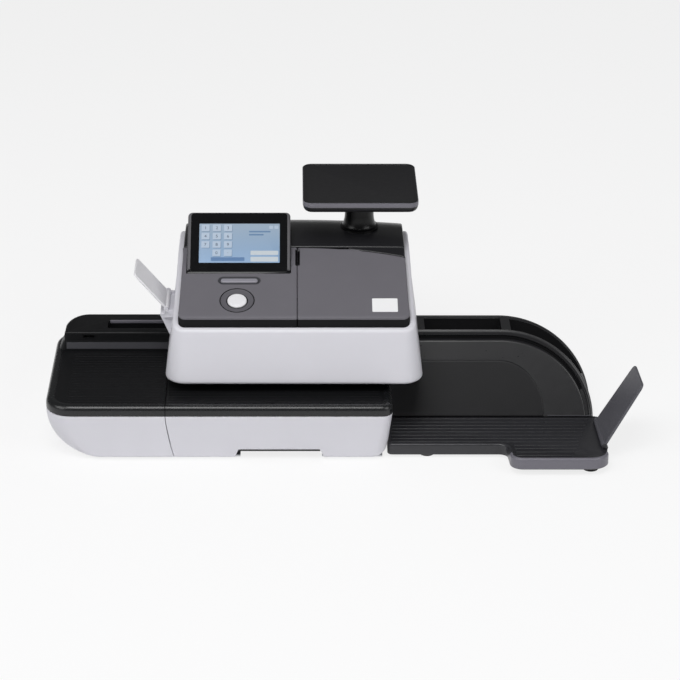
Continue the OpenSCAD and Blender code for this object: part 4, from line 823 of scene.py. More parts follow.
@dataclass
class HeadDress:
    """Shell and covers of the head, with the openings for the display, the keys and the label slot."""

    head: Head
    well_x: Pair = (-124.5, -3.4)
    well_p: Pair = (73.3, 163.0)
    well_q: float = 13.0
    well_high: float = 40.0
    cover_bevel: float = 0.35
    pivot_p: float = 80.6
    pivot_q: float = 5.5
    pivot_r: float = 7.1
    cradle_t: float = 1.2
    ring_at: Pair = (-65.0, 31.5)
    ring_r: float = 20.0
    key_at: Pair = (-63.0, 64.5)
    key_size: Pair = (48.5, 12.4)
    relief_x: Pair = (1.4, 6.8)
    relief_p: Pair = (90.0, 117.5)
    relief_q: float = 2.6
    label_x: Pair = (89.0, 118.0)
    label_p: Pair = (12.5, 34.5)
    hinge_p: float = 117.27
    hinge_q: float = 3.0
    hinge_r: float = 2.5
    hinge_x: Pair = (3.95, 120.8)
    lug: float = 4.4

    def stadium(self, grow: float) -> Array:
        """Outline of the option key, grown all round."""
        half, radius = self.key_size[0] / 2 + grow, self.key_size[1] / 2 + grow
        return box_outline(-half, -radius, half, radius, radius - 0.01, 6)

    def wells(self) -> list[Surface]:
        """Cutters for the display's well: a box behind its pivot and a round about the pivot."""
        panel, (x0, x1) = self.head.panel, self.well_x
        line = panel.lay(np.array([(x, self.pivot_p, -self.pivot_q) for x in self.well_x]))
        return [block(panel, (x0, self.pivot_p, -self.well_q), (x1, self.well_p[1], self.well_high), 1.5),
                bar(*line, self.pivot_r)]

    def build(self) -> None:
        """Makes the shell, the three covers with their skirts and what is fixed to them; the skirts'
        near-black paints the shade under the covers' edges.
        """
        head, panel = self.head, self.head.panel
        slot = block(UPRIGHT, (head.slot_x[0], head.slot_y[0], head.slot_z),
                     (head.slot_x[1], head.slot_y[1], head.slot_z + head.slot_h))
        settle("head_shell", head.shell(), WHITE, replaces=["head_shell"], cuts=[slot])
        hole_r = self.ring_r + 0.15
        ring_hole = lathe(panel.moved(*self.ring_at), [(hole_r, -CUT_PAST), (hole_r, CUT_PAST)])
        key_hole = plate(panel.moved(*self.key_at), self.stadium(0.4), -CUT_PAST, CUT_PAST, 0.1)
        box, around = self.wells()
        front_foot, right_foot = head.panel_outline(), head.lid_outline()
        front, right = head.set_back(front_foot), head.set_back(right_foot)
        rear, rear_foot = head.hood_outline(), head.hood_outline(head.hood_skirt)
        (x0, x1), (p0, p1), q = self.relief_x, self.relief_p, self.relief_q
        relief = block(panel, (x0, p0, -q), (x1, p1, CUT_PAST), 0.6)
        settle("control_panel", head.cover(front), GREY, replaces=["control_panel"],
               cuts=[box, around, ring_hole, key_hole, relief], bevel=self.cover_bevel)
        # The panel's and lid's skirts are near-black: partly black plastic and partly painted shade under
        # the grey covers' front edges.
        settle("panel_skirt", head.skirt_ring(front, front_foot), SKIRT_SHADE, cuts=[box])
        settle("rear_hood", head.cover(rear, head.hood_under), HOOD, replaces=["rear_hood"], cuts=[box],
               bevel=self.cover_bevel)
        settle("hood_skirt", head.skirt_ring(rear_foot, rear_foot), SKIRT_SHADE, cuts=[box])
        settle("cartridge_lid", head.cover(right), GREY, "lid", ["cartridge_lid"], [relief],
               self.cover_bevel)
        settle("lid_skirt", head.skirt_ring(right, right_foot), SKIRT_SHADE, "lid")
        settle("lid_tail", head.tail(), HOOD, "lid")
        # Near-black fills at the floor of the seam relief, one on each body: painted shade in the recess.
        for name, near, far, body in (("panel_relief_shade", x0, head.seam_x - 0.3, "machine"),
                                      ("lid_relief_shade", head.seam_x + 0.3, x1, "lid")):
            fill = block(panel, (near + 0.05, p0 + 0.1, -q - 0.1), (far - 0.05, p1 - 0.1, -q / 2), 0.1)
            settle(name, fill, SHADE_SHEETS, body)
        label = box_outline(self.label_x[0], self.label_p[0], self.label_x[1], self.label_p[1], 1.2)
        settle("lid_label", plate(panel, label, -0.2, 0.35, 0.15), PAPER, "lid")
        self.build_hinge()
        self.build_cradle()

    def build_hinge(self) -> None:
        """Makes the lid's barrel and the two lugs that hold its pin."""
        panel, (x0, x1) = self.head.panel, self.hinge_x

        def along(start: float, end: float) -> Surface:
            """Bar on the hinge line between two places across the head."""
            line = np.array([(x, self.hinge_p, -self.hinge_q) for x in (start, end)])
            return bar(*panel.lay(line), self.hinge_r)

        settle("lid_barrel", along(x0 + self.lug + 0.3, x1 - self.lug - 0.6), GREY, "lid")
        settle("lid_lugs", along(x0, x0 + self.lug).join(along(x1 - self.lug, x1)), HOOD)

    def build_cradle(self) -> None:
        """Makes the open tray that the display lies in, its sides cut to the covers' underside."""
        panel, (x0, x1), (p0, p1), t = self.head.panel, self.well_x, self.well_p, self.cradle_t
        low = -self.well_q - t
        cradle = block(panel, (x0 - t, p0 - t, low), (x1 + t, p1 + t, -self.well_q), 0.3)
        cradle.join(block(panel, (x0, p0 - t, low), (x1, p0, -self.head.cover_t - 0.3), 0.3))
        cradle.join(block(panel, (x0, p1, low), (x1, p1 + t, -self.well_q + 3), 0.3))
        along = np.linspace(p0 - t, p1 + t, 24)
        for near, far in ((x0 - t, x0), (x1, x1 + t)):
            floor = panel.lay(np.column_stack([np.full(24, near), along, np.full(24, low)]))
            roof = self.head.laid(floor[::-1, :2], self.head.cover_t + 0.3)
            side = np.concatenate([floor, roof])
            cradle.join(Surface().grid(np.stack([side, side + (far - near, 0, 0)])))
        settle("display_cradle", cradle, BLACK, replaces=["display_cradle"])


@dataclass
class Keys:
    """The start button in its ring and the long option key in its surround."""

    dress: HeadDress
    button_r: float = 11.0
    button_rise: float = 1.0
    button_depth: float = 8.0
    button_gap: float = 0.35
    ring_depth: float = 4.2
    line_w: float = 1.1
    surround_w: float = 2.7
    key_rise: float = 0.9
    round_steps: int = 96

    def build(self) -> None:
        """Makes the ring with its two dark lines, the button, the surround and the key."""
        panel, ring_r = self.dress.head.panel, self.dress.ring_r
        at = panel.moved(*self.dress.ring_at)
        hole, low = self.button_r + self.button_gap, -self.ring_depth
        dish = quarter((hole + self.line_w, -1.2), (ring_r - self.line_w, -0.1), 8, rise_first=False)
        ring = [(hole, low), (hole, -1.3), *dish, (ring_r - 0.2, -0.15), (ring_r, -0.4), (ring_r, low)]
        settle("start_ring", lathe(at, ring, self.round_steps, Ends.LOOPED), RING, replaces=["start_ring"])
        lines = Surface()
        for inner, level in ((hole, -1.1), (ring_r - self.line_w, -0.06)):
            outer = inner + self.line_w - 0.05
            band = [(inner, level - 1), (inner, level), (outer, level), (outer, level - 1)]
            lines.join(lathe(at, band, self.round_steps, Ends.LOOPED))
        settle("ring_lines", lines, BLACK)
        r, rise, depth = self.button_r, self.button_rise, self.button_depth
        dome = [(0, -depth), (r, -depth), *quarter((r, -0.6), (r - 1.6, rise - 0.45), 6),
                (r - 3.0, rise - 0.2), (r - 3.2, rise - 0.45), (r - 3.6, rise - 0.45),
                (r - 3.8, rise - 0.15), (r / 3, rise - 0.02), (0, rise)]
        settle("start_button", lathe(at, dome, 80, Ends.OPEN), BUTTON, "start_key", ["start_button"])
        key = panel.moved(*self.dress.key_at)
        outer, inner = self.dress.stadium(0.25), self.dress.stadium(0.25 - self.surround_w)
        rim = np.stack([key.lay(raised(loop, level)) for loop, level in
                        ((outer, -4.0), (outer, -0.3), (outer * 0.995, -0.05), (inner * 1.02, -0.5),
                         (inner, -0.8), (inner, -4.0))])
        settle("key_surround", Surface().grid(rim, Ends.LOOPED), SLATE)
        # The whole key is light grey: painted highlight along its rounded top.
        cap = plate(key, self.dress.stadium(-self.surround_w - 0.15), -5.0, self.key_rise, 1.6)
        settle("option_key", cap, KEY_HIGHLIGHT, "menu_key", ["option_key"])


@dataclass
class Display:
    """The tilting display: housing, black glass frame and lit picture with a plain number pad."""

    tilt: float = 35.3
    left: float = -61.2
    right: float = 58.3
    length: float = 81.0
    thick: float = 13.0
    corner: float = 5.5
    strip: float = 3.6
    screen_w: float = 94.0
    screen_h: float = 53.5
    screen_x: float = -0.9
    screen_mid: float = 38.6
    key_w: float = 9.4
    key_h: float = 8.9
    pitch_x: float = 13.1
    pitch_y: float = 11.3
    pad_left: float = 2.7
    pad_top: float = 52.0
    shade_off: Pair = (0.5, -0.6)
    digit: float = 5.4
    sunk: float = 0.35
    icons: tuple[Tile, ...] = ((81.5, 46.2, 86, 50.6), (87.5, 46.2, 92, 50.6))
    wide_band: Tile = (14, 2.6, 53, 7.6)
    thin_bands: tuple[Tile, ...] = ((58, 41.4, 83, 43.4), (58, 37.2, 75, 39.2))
    blanks: tuple[Tile, ...] = ((60, 10.8, 92, 16.4), (60, 1.8, 92, 8.2))

    def __post_init__(self) -> None:
        """Sets the display's frame on its pivot and the picture's frame on its face."""
        self.axes = Axes.tilted(DATUM.joint("display_tilt"), self.tilt)
        self.face = self.thick / 2
        across, up = self.screen_x - self.screen_w / 2, self.screen_mid - self.screen_h / 2
        self.picture = self.axes.moved(across, up, self.face - self.sunk)

    def build(self) -> None:
        """Makes the housing, the glass and what the screen shows."""
        left, right, top, face = self.left, self.right, self.length, self.face
        body = filleted([(left, 0, 0.6), (right, 0, 0.6), (right, top, self.corner),
                         (left, top, self.corner)], 5)
        stations = np.concatenate([quarter((4.0, -face), (0, -face + 4.0), 6, rise_first=False),
                                   quarter((0, face - 2.0), (1.6, face - 0.3), 6),
                                   [(self.strip, face - 0.3), (self.strip + 0.4, face - 1.5)]])
        housing = Surface().grid(self.axes.lay(rings(body, stations)))
        settle("display_housing", housing, EDGE, "display", ["display_housing"])
        line = self.axes.lay(np.array([(left, 0, 0), (right, 0, 0)]))
        settle("display_barrel", bar(*line, face, 1.2), GLASS, "display")
        left, right, top = left + self.strip, right - self.strip, top - 1.5
        outer = filleted([(left, -0.6, 1.2), (right, -0.6, 1.2), (right, top, 4), (left, top, 4)], 5)
        window = block(self.picture, (0, 0, -0.15), (self.screen_w, self.screen_h, 4), 0.8)
        glass = plate(self.axes, outer, face - 1.6, face + 0.12, 0.35)
        settle("display_glass", glass, GLASS, "display", ["display_glass"], [window])
        self.build_picture()

    def tile(self, s0: float, t0: float, s1: float, t1: float, rise: float = 0.1,
             radius: float = 0.9) -> Surface:
        """Thin raised field of the picture between two corners."""
        return plate(self.picture, box_outline(s0, t0, s1, t1, radius), 0.01, rise, 0.03)

    def build_picture(self) -> None:
        """Makes the lit panel, the number pad, the fields and the digits."""
        back = box_outline(0.05, 0.05, self.screen_w - 0.05, self.screen_h - 0.05, 0.5)
        self.lit("lcd_panel", plate(self.picture, back, -1.0, 0.02, 0.01), SCREEN, ["lcd_panel"])
        pad, shades, digits = Surface(), Surface(), Surface()
        right, down = self.shade_off
        for number, mark in enumerate("1234567890."):
            row, column = (3, number - 8) if number > 8 else divmod(number, 3)
            s = self.pad_left + column * self.pitch_x
            t = self.pad_top - row * self.pitch_y - self.key_h
            pad.join(self.tile(s, t, s + self.key_w, t + self.key_h))
            shades.join(self.tile(s + right, t + down, s + self.key_w + right, t + self.key_h + down, 0.06))
            digits.join(self.written(mark, s + self.key_w / 2, t + self.key_h / 2))
        for box in self.icons:
            pad.join(self.tile(*box))
        self.lit("screen_keys", pad, KEYS)
        self.lit("screen_shades", shades, SHADES)
        bands, blanks = self.tile(*self.wide_band), Surface()
        for box in self.thin_bands:
            bands.join(self.tile(*box, radius=0.6))
        self.lit("screen_bands", bands, FIELD)
        for box in self.blanks:
            blanks.join(self.tile(*box))
        self.lit("screen_blanks", blanks, BLANK)
        settle("screen_digits", digits, MARKS, "display")

    def lit(self, name: str, surface: Surface, finish: Finish, replaces: Sequence[str] = ()) -> None:
        """Makes a lit piece with a map of the picture: across and up, each from 0 to 1."""
        piece = settle(name, surface, finish, "display", replaces)
        mesh = piece.data
        corner = np.empty(len(mesh.loops), int)
        mesh.loops.foreach_get("vertex_index", corner)
        away = vertex_places(mesh) - DATUM.metres(self.picture.origin)
        flat = away @ np.stack([self.picture.right, self.picture.up], 1)
        share = flat / (np.array((self.screen_w, self.screen_h)) * MM)
        mesh.uv_layers.new(name="picture").data.foreach_set("uv", share[corner].ravel())

    def written(self, mark: str, s: float, t: float) -> Surface:
        """A digit as a thin mesh, centred at a place on the picture."""
        curve = bpy.data.curves.new("mark", "FONT")
        curve.body = mark
        curve.size = self.digit
        curve.extrude = 0.02
        writing = linked("mark", curve)
        mesh = evaluated(writing)
        place = vertex_places(mesh)
        place -= (place.min(0) + place.max(0)) / 2
        made = Surface()
        made.points.append(self.picture.lay(place + np.array((s, t, 0.12))))
        made.faces = [list(face.vertices) for face in mesh.polygons]
        made.count = len(place)
        bpy.data.objects.remove(writing)
        bpy.data.meshes.remove(mesh)
        return made


# Label flap and scale


@dataclass
class LabelFlap:
    """The white flap at the label slot, leaning out from its sill."""

    lean: float = 40.0
    length: float = 56.0
    thick: float = 2.5
    y: Pair = (97.3, 145.7)
    barrel_r: float = 3.0
    journal: float = 4.0
    journal_r: float = 1.15
    corner: float = 3.5
    gusset: tuple[Corner, ...] = ((-143.8, 112.5, 0.5), (-140, 112.5, 0.5), (-137, 139.5, 0.5),
                                  (-155.4, 139.5, 2))

    def build(self) -> None:
        """Makes the plate with its rounded corners, the barrel with its journals and the gusset."""
        hinge = DATUM.joint("flap_hinge") * np.array((1, 0, 1))
        axes = Axes(hinge, UPRIGHT.right, UPRIGHT.up, UPRIGHT.out).leaning(-self.lean)
        y0, y1 = self.y
        loop = filleted([(y0, 1.5, 0.5), (y1, 1.5, 0.5), (y1 - 0.6, self.length, self.corner),
                         (y0 + 0.6, self.length, self.corner)])
        flap = plate(axes, loop, -self.thick / 2, self.thick / 2, 1.0)
        flap.join(bar(hinge + (0, y0, 0), hinge + (0, y1, 0), self.barrel_r, 0.6))
        start, end = hinge + (0, y0 - self.journal, 0), hinge + (0, y1 + self.journal, 0)
        flap.join(bar(start, end, self.journal_r, 0.3))
        settle("label_flap", flap, BUTTON, "flap", ["label_flap"])
        upright = Axes(np.zeros(3), UPRIGHT.right, UPRIGHT.out, -UPRIGHT.up)
        settle("sill_gusset", plate(upright, filleted(self.gusset), -y1, -y0, 0.4), WHITE)


@dataclass
class Scale:
    """The weighing pan on its column."""

    x: float = 77.0
    y: float = 212.0
    top: float = 255.0
    size: Pair = (134.0, 124.0)
    corner: float = 11.0
    thick: float = 14.3
    bevel: float = 7.0
    edge: float = 6.6
    highlight_band: float = 0.2
    column_r: float = 17.0
    foot_r: float = 22.5
    crown_z: float = 201.5
    seat: Pair = (80.0, 72.0)
    seat_low: float = 240.5
    seat_top: float = 251.7
    hollow_top: float = 252.0

    def build(self) -> None:
        """Makes the pan, hollow below over its seat, a light band round its edge that paints the edge's
        highlight, and the column with its flared foot.
        """
        at = Axes.tilted((self.x, self.y, 0), 0)
        half_x, half_y = self.size[0] / 2 - self.highlight_band, self.size[1] / 2 - self.highlight_band
        loop = box_outline(-half_x, -half_y, half_x, half_y, self.corner, 5)
        low, edge_z, top = self.top - self.thick, self.top - self.edge, self.top
        bevel = quarter((self.bevel, low + 0.4), (0.2, edge_z), 7, rise_first=False)
        rim = quarter((0.2, top - 1.0), (1.0, top), 5)
        stations = np.concatenate([[(self.bevel + 0.5, low)], bevel, rim,
                                   [(3.2, top), (3.6, top - 0.4), (4.4, top - 0.5)]])
        hollow = block(at, (-self.seat[0] / 2 - 0.3, -self.seat[1] / 2 - 0.3, low - 3),
                       (self.seat[0] / 2 + 0.3, self.seat[1] / 2 + 0.3, self.hollow_top), 0.5)
        settle("weighing_pan", Surface().grid(at.lay(rings(loop, stations))), PAN, "pan", ["weighing_pan"],
               [hollow])
        # Light grey band round the pan's edge: painted highlight where the front edge catches the light.
        band = np.array([(0.6, edge_z + 0.1), (-0.1, edge_z + 0.3), (-self.highlight_band, edge_z + 0.8),
                         (-self.highlight_band, top - 1.2), (-0.1, top - 0.8), (0.6, top - 0.6)])
        settle("pan_highlight_band", Surface().grid(at.lay(rings(loop, band)), Ends.LOOPED), HIGHLIGHT_BAND, "pan")
        r, foot, z = self.column_r, self.foot_r, self.crown_z
        flare = quarter((foot - 0.8, z + 0.6), (r, z + 16), 10, rise_first=False)
        profile = [(foot - 3, z - 8), (foot, z - 6), (foot, z - 0.2), *flare, (r, self.seat_low - 0.5)]
        column = lathe(at, profile, 72)
        column.join(block(at, (-self.seat[0] / 2, -self.seat[1] / 2, self.seat_low),
                          (self.seat[0] / 2, self.seat[1] / 2, self.seat_top), 1.2))
        settle("scale_column", column, COLUMN, replaces=["scale_column"])


# Base


@dataclass
class Base:
    """White base shells, black decks with their rims and the guide housing."""

    left: float = -283.0
    seam: float = -146.0
    right: float = 112.0
    seam_gap: float = 0.4
    depth: float = 203.0
    wall_y: float = 147.0
    foot: float = 3.0
    band: float = 55.5
    deck: float = 68.0
    end_r: float = 50.0
    end_pull: float = 0.985
    under_inset: float = 5.6
    floor_inset: float = 9.0
    plan_r: float = 30.0
    right_r: float = 12.0
    taper: float = 7.0
    taper_run: float = 60.0
    slant: float = 9.5
    notch: Pair = (-65.5, 32.0)
    notch_rise: float = 9.6
    notch_run: float = 5.0
    lift_run: float = 22.0
    notch_z: float = 13.2
    end_rise: float = 7.0
    end_run: float = 18.0
    wall: float = 2.6
    rib_pitch: float = 6.5
    rib_y: float = 15.0
    rib_half: float = 0.9
    floor_drop: float = 0.75
    left_ribs: int = 20
    feed_ribs: int = 8
    guide_top: float = 90.0
    guide_lean: float = 72.4
    roller_x: Pair = (-75.0, 85.0)
    roller_y: Pair = (72.0, 112.0)
    roller_r: float = 14.0
    roller_len: float = 20.0
    roller_gap: float = 2.0
    storage: Tile = (-221.0, 162.0, -140.0, 182.0)
    storage_floor: float = 78.0
    pocket: Pair = (-249.0, -236.0)
    pocket_z: Pair = (82.6, 86.0)

    def wall_profile(self) -> Array:
        """Closed profile of a base shell: outer face, rounded foot, and the wall's inner face."""
        outer = np.column_stack([np.zeros(14), np.linspace(self.band - 0.9, self.foot + 2.8, 14)])
        foot = quarter((0, self.foot + 2.6), (2.2, self.foot + 0.2), 7)
        inner = np.column_stack([np.full(4, self.wall), np.linspace(self.foot + 6, self.band - 0.2, 4)])
        high, flange = (0.7, self.band - 0.2), (self.wall + 0.4, self.foot + 0.2)
        return np.concatenate([[high], outer, foot, [flange], inner])

    def rim_profile(self) -> Array:
        """Closed profile of a deck's rim: band, large round on top, a low bead and the inner side."""
        low, top = self.band, self.deck
        round_top = quarter((0, top - 6.6), (6.2, top - 0.05), 9)
        bead = [(8.2, top - 0.05), (8.9, top - 0.25), (9.4, top - 0.7), (10.4, top - 0.8)]
        return np.concatenate([[(3.2, low + 0.1), (0.6, low + 0.1), (0, low + 0.6)], round_top, bead,
                               [(10.4, top - 4), (3.2, top - 4)]])

    def left_path(self) -> Array:
        """Path round the left module, from the seam at the back to the seam at the front."""
        seam = self.seam - self.seam_gap
        return filleted([(seam, self.depth, 0), (self.left, self.depth, self.plan_r),
                         (self.left, 0, self.plan_r), (seam, 0, 0)], 4, closed=False)

    def main_path(self) -> Array:
        """Path along the front of the main base and round its right end."""
        return filleted([(self.seam + self.seam_gap, 0, 0), (self.right, 0, self.right_r),
                         (self.right, self.wall_y - 0.5, 0)], 2, closed=False)

    def below(self, z: Array) -> Array:
        """Share of the way down from the band to the foot."""
        return np.clip((self.band - z) / (self.band - self.foot), 0, 1)

    def boat(self, points: Array) -> Array:
        """Draws the left end in like a boat: by end_r - sqrt(end_r^2 - depth^2), none at the seam."""
        x, z = points[..., 0], points[..., 2]
        under = np.clip(self.foot + self.end_r - z, 0, self.end_r)
        pull = self.end_r - np.sqrt(self.end_r ** 2 - under ** 2)
        share = np.clip((self.seam - x) / (self.seam - self.left), 0, 1)
        bent = points.copy()
        bent[..., 0] += self.end_pull * pull * share + self.slant * self.below(z) ** 1.5 * (1 - share) ** 6
        return bent

    def hull(self, points: Array) -> Array:
        """Tapers the right end, slants the seam and lifts the lower edge over the notch and at the end."""
        x, z = points[..., 0], points[..., 2]
        share = np.clip((x - self.seam) / (self.right - self.seam), 0, 1)
        middle, half = sum(self.notch) / 2, (self.notch[1] - self.notch[0]) / 2
        lift = self.notch_rise * smooth((half + self.notch_run / 2 - np.abs(x - middle)) / self.notch_run)
        lift = lift + self.end_rise * np.clip((x - self.right + self.end_run) / self.end_run, 0, 1) ** 2
        bent = points.copy()
        bent[..., 0] += self.slant * self.below(z) ** 1.5 * (1 - share) ** 10
        near_end = smooth((x - self.right + self.taper_run) / self.taper_run)
        bent[..., 0] -= self.taper * self.below(z) * near_end
        bent[..., 2] += lift * (1 - smooth((z - self.foot) / self.lift_run))
        return bent

    def ribs(self, x0: float, x1: float, count: int) -> Surface:
        """Low round ribs along the deck, from the front to the back."""
        made = Surface()
        top = self.deck - self.floor_drop
        for y in self.rib_y + self.rib_pitch * np.arange(count):
            loop = box_outline(x0, y - self.rib_half, x1, y + self.rib_half, 0.85, 400)
            made.join(plate(UPRIGHT, loop, top - 0.3, top + 0.35, 0.3))
        return made

    def build(self) -> None:
        """Makes the shells, the bar behind the notch, the decks and the guide housing."""
        wall, rim = self.wall_profile(), self.rim_profile()
        left = Surface().grid(self.boat(swept(self.left_path(), wall)))
        under = self.left_path() - self.under_inset * path_normals(self.left_path())
        tray = np.stack([raised(under, self.foot + rise) for rise in (0.25, 2.4)])
        left.join(Surface().grid(self.boat(tray)))
        settle("left_shell", left, WHITE, replaces=["left_shell"])
        settle("front_shell", Surface().grid(self.hull(swept(self.main_path(), wall))), WHITE,
               replaces=["front_shell"])
        (x0, x1), z = self.notch, self.notch_z
        settle("notch_bar", block(UPRIGHT, (x0 + 2, 3.0, z - 3.4), (x1 - 2, 4.4, z)), BLACK)
        self.build_left_deck(rim)
        self.build_feed_deck(rim)
        self.build_guide()

    def build_left_deck(self, rim: Array) -> None:
        """Makes the left deck: its rim, its flat top and the ribs on it."""
        edge = self.left_path() - self.floor_inset * path_normals(self.left_path())
        top = np.stack([raised(edge, self.deck - drop) for drop in (3.6, self.floor_drop)])
        settle("left_rim", Surface().grid(swept(self.left_path(), rim)), BLACK, replaces=["left_deck"])
        top_deck = Surface().grid(top).join(self.ribs(self.left + 24, self.seam - 1, self.left_ribs))
        settle("left_floor", top_deck, DECK)

    def build_feed_deck(self, rim: Array) -> None:
        """Makes the feed deck with the windows of its rollers."""
        loop = np.array([(self.seam + 0.3, 8.0), (self.right - 8, 8), (self.right - 8, self.wall_y - 0.5),
                         (self.seam + 0.3, self.wall_y - 0.5)])
        top = plate(UPRIGHT, loop, self.deck - 3.4, self.deck - self.floor_drop, 0.1)
        reach, gap = self.roller_r + self.roller_gap, self.roller_gap
        windows = [block(UPRIGHT, (x - reach, y - gap, self.deck - CUT_PAST),
                         (x + reach, y + self.roller_len + gap, self.deck + CUT_PAST), 1.0)
                   for x in self.roller_x for y in self.roller_y]
        settle("feed_deck", top, DECK, replaces=["feed_deck"], cuts=windows)
        settle("feed_rim", Surface().grid(swept(self.main_path(), rim)), BLACK)
        settle("feed_ribs", self.ribs(self.seam + 1, self.right - 14, self.feed_ribs), DECK)

    def build_guide(self) -> None:
        """Makes the guide housing: stepped front, rounded left end, storage slot and pocket, a lighter strip
        on the front's lower step and a light lip at the slot's rear edge, both painted light.
        """
        loop = filleted([(self.left + 4, self.wall_y, 8), (self.seam - 0.2, self.wall_y, 0.5),
                         (self.seam - 0.2, self.depth - 0.2, 0.5), (self.left + 4, self.depth - 0.2, 34)], 4)
        out = miters(loop)
        low, top = self.deck - 0.6, self.guide_top
        steps = np.concatenate([[(0, low), (0.3, low + 2.0), (3.0, low + 10.5), (3.4, low + 11.5),
                                 (3.6, low + 12.2)], quarter((3.8, top - 3.0), (6.6, top), 6)])
        sides = np.concatenate([[1.0, 1.8, 6.0, 6.8, 7.2], quarter((8.0, 0), (12.5, 0), 6)[:, 0]])
        backs = np.concatenate([[0, 0, 0.2, 0.2, 0.2], quarter((0.3, 0), (2.6, 0), 6)[:, 0]])
        rows = []
        for (front, level), side, back in zip(steps, sides, backs):
            deep = np.where(out[:, 1] < 0, front, back)
            shift = np.stack([np.minimum(out[:, 0], 0) * side, out[:, 1] * deep], 1)
            rows.append(raised(loop - shift, level))
        x0, y0, x1, y1 = self.storage
        slot = block(UPRIGHT, (x0, y0, self.storage_floor), (x1, y1, self.guide_top + CUT_PAST), 3.0)
        (near, far), (z0, z1) = self.pocket, self.pocket_z
        pocket = block(UPRIGHT, (near, self.wall_y - 4, z0), (far, self.wall_y + CUT_PAST, z1), 0.8)
        settle("guide_housing", Surface().grid(np.stack(rows)), DECK, replaces=["guide_housing"],
               cuts=[slot, pocket], bevel=0.5)
        # Slate strip on the lower step of the front: painted light on that step, which faces front and up.
        face = Axes.tilted((0, self.wall_y + 0.3, low + 2.0), self.guide_lean)
        strip = block(face, (self.left + 14, 0.4, -0.4), (self.seam - 1, 8.2, 0.25), 0.2)
        settle("guide_lit_band", strip, SLATE)
        # Light grey lip along the slot's rear edge: painted highlight on that edge.
        lip = block(UPRIGHT, (x0 + 2, y1 - 0.4, top - 3), (self.seam - 1, y1 + 2.4, top + 0.2), 0.4)
        settle("slot_highlight_lip", lip, HIGHLIGHT_BAND)


# Catch tray


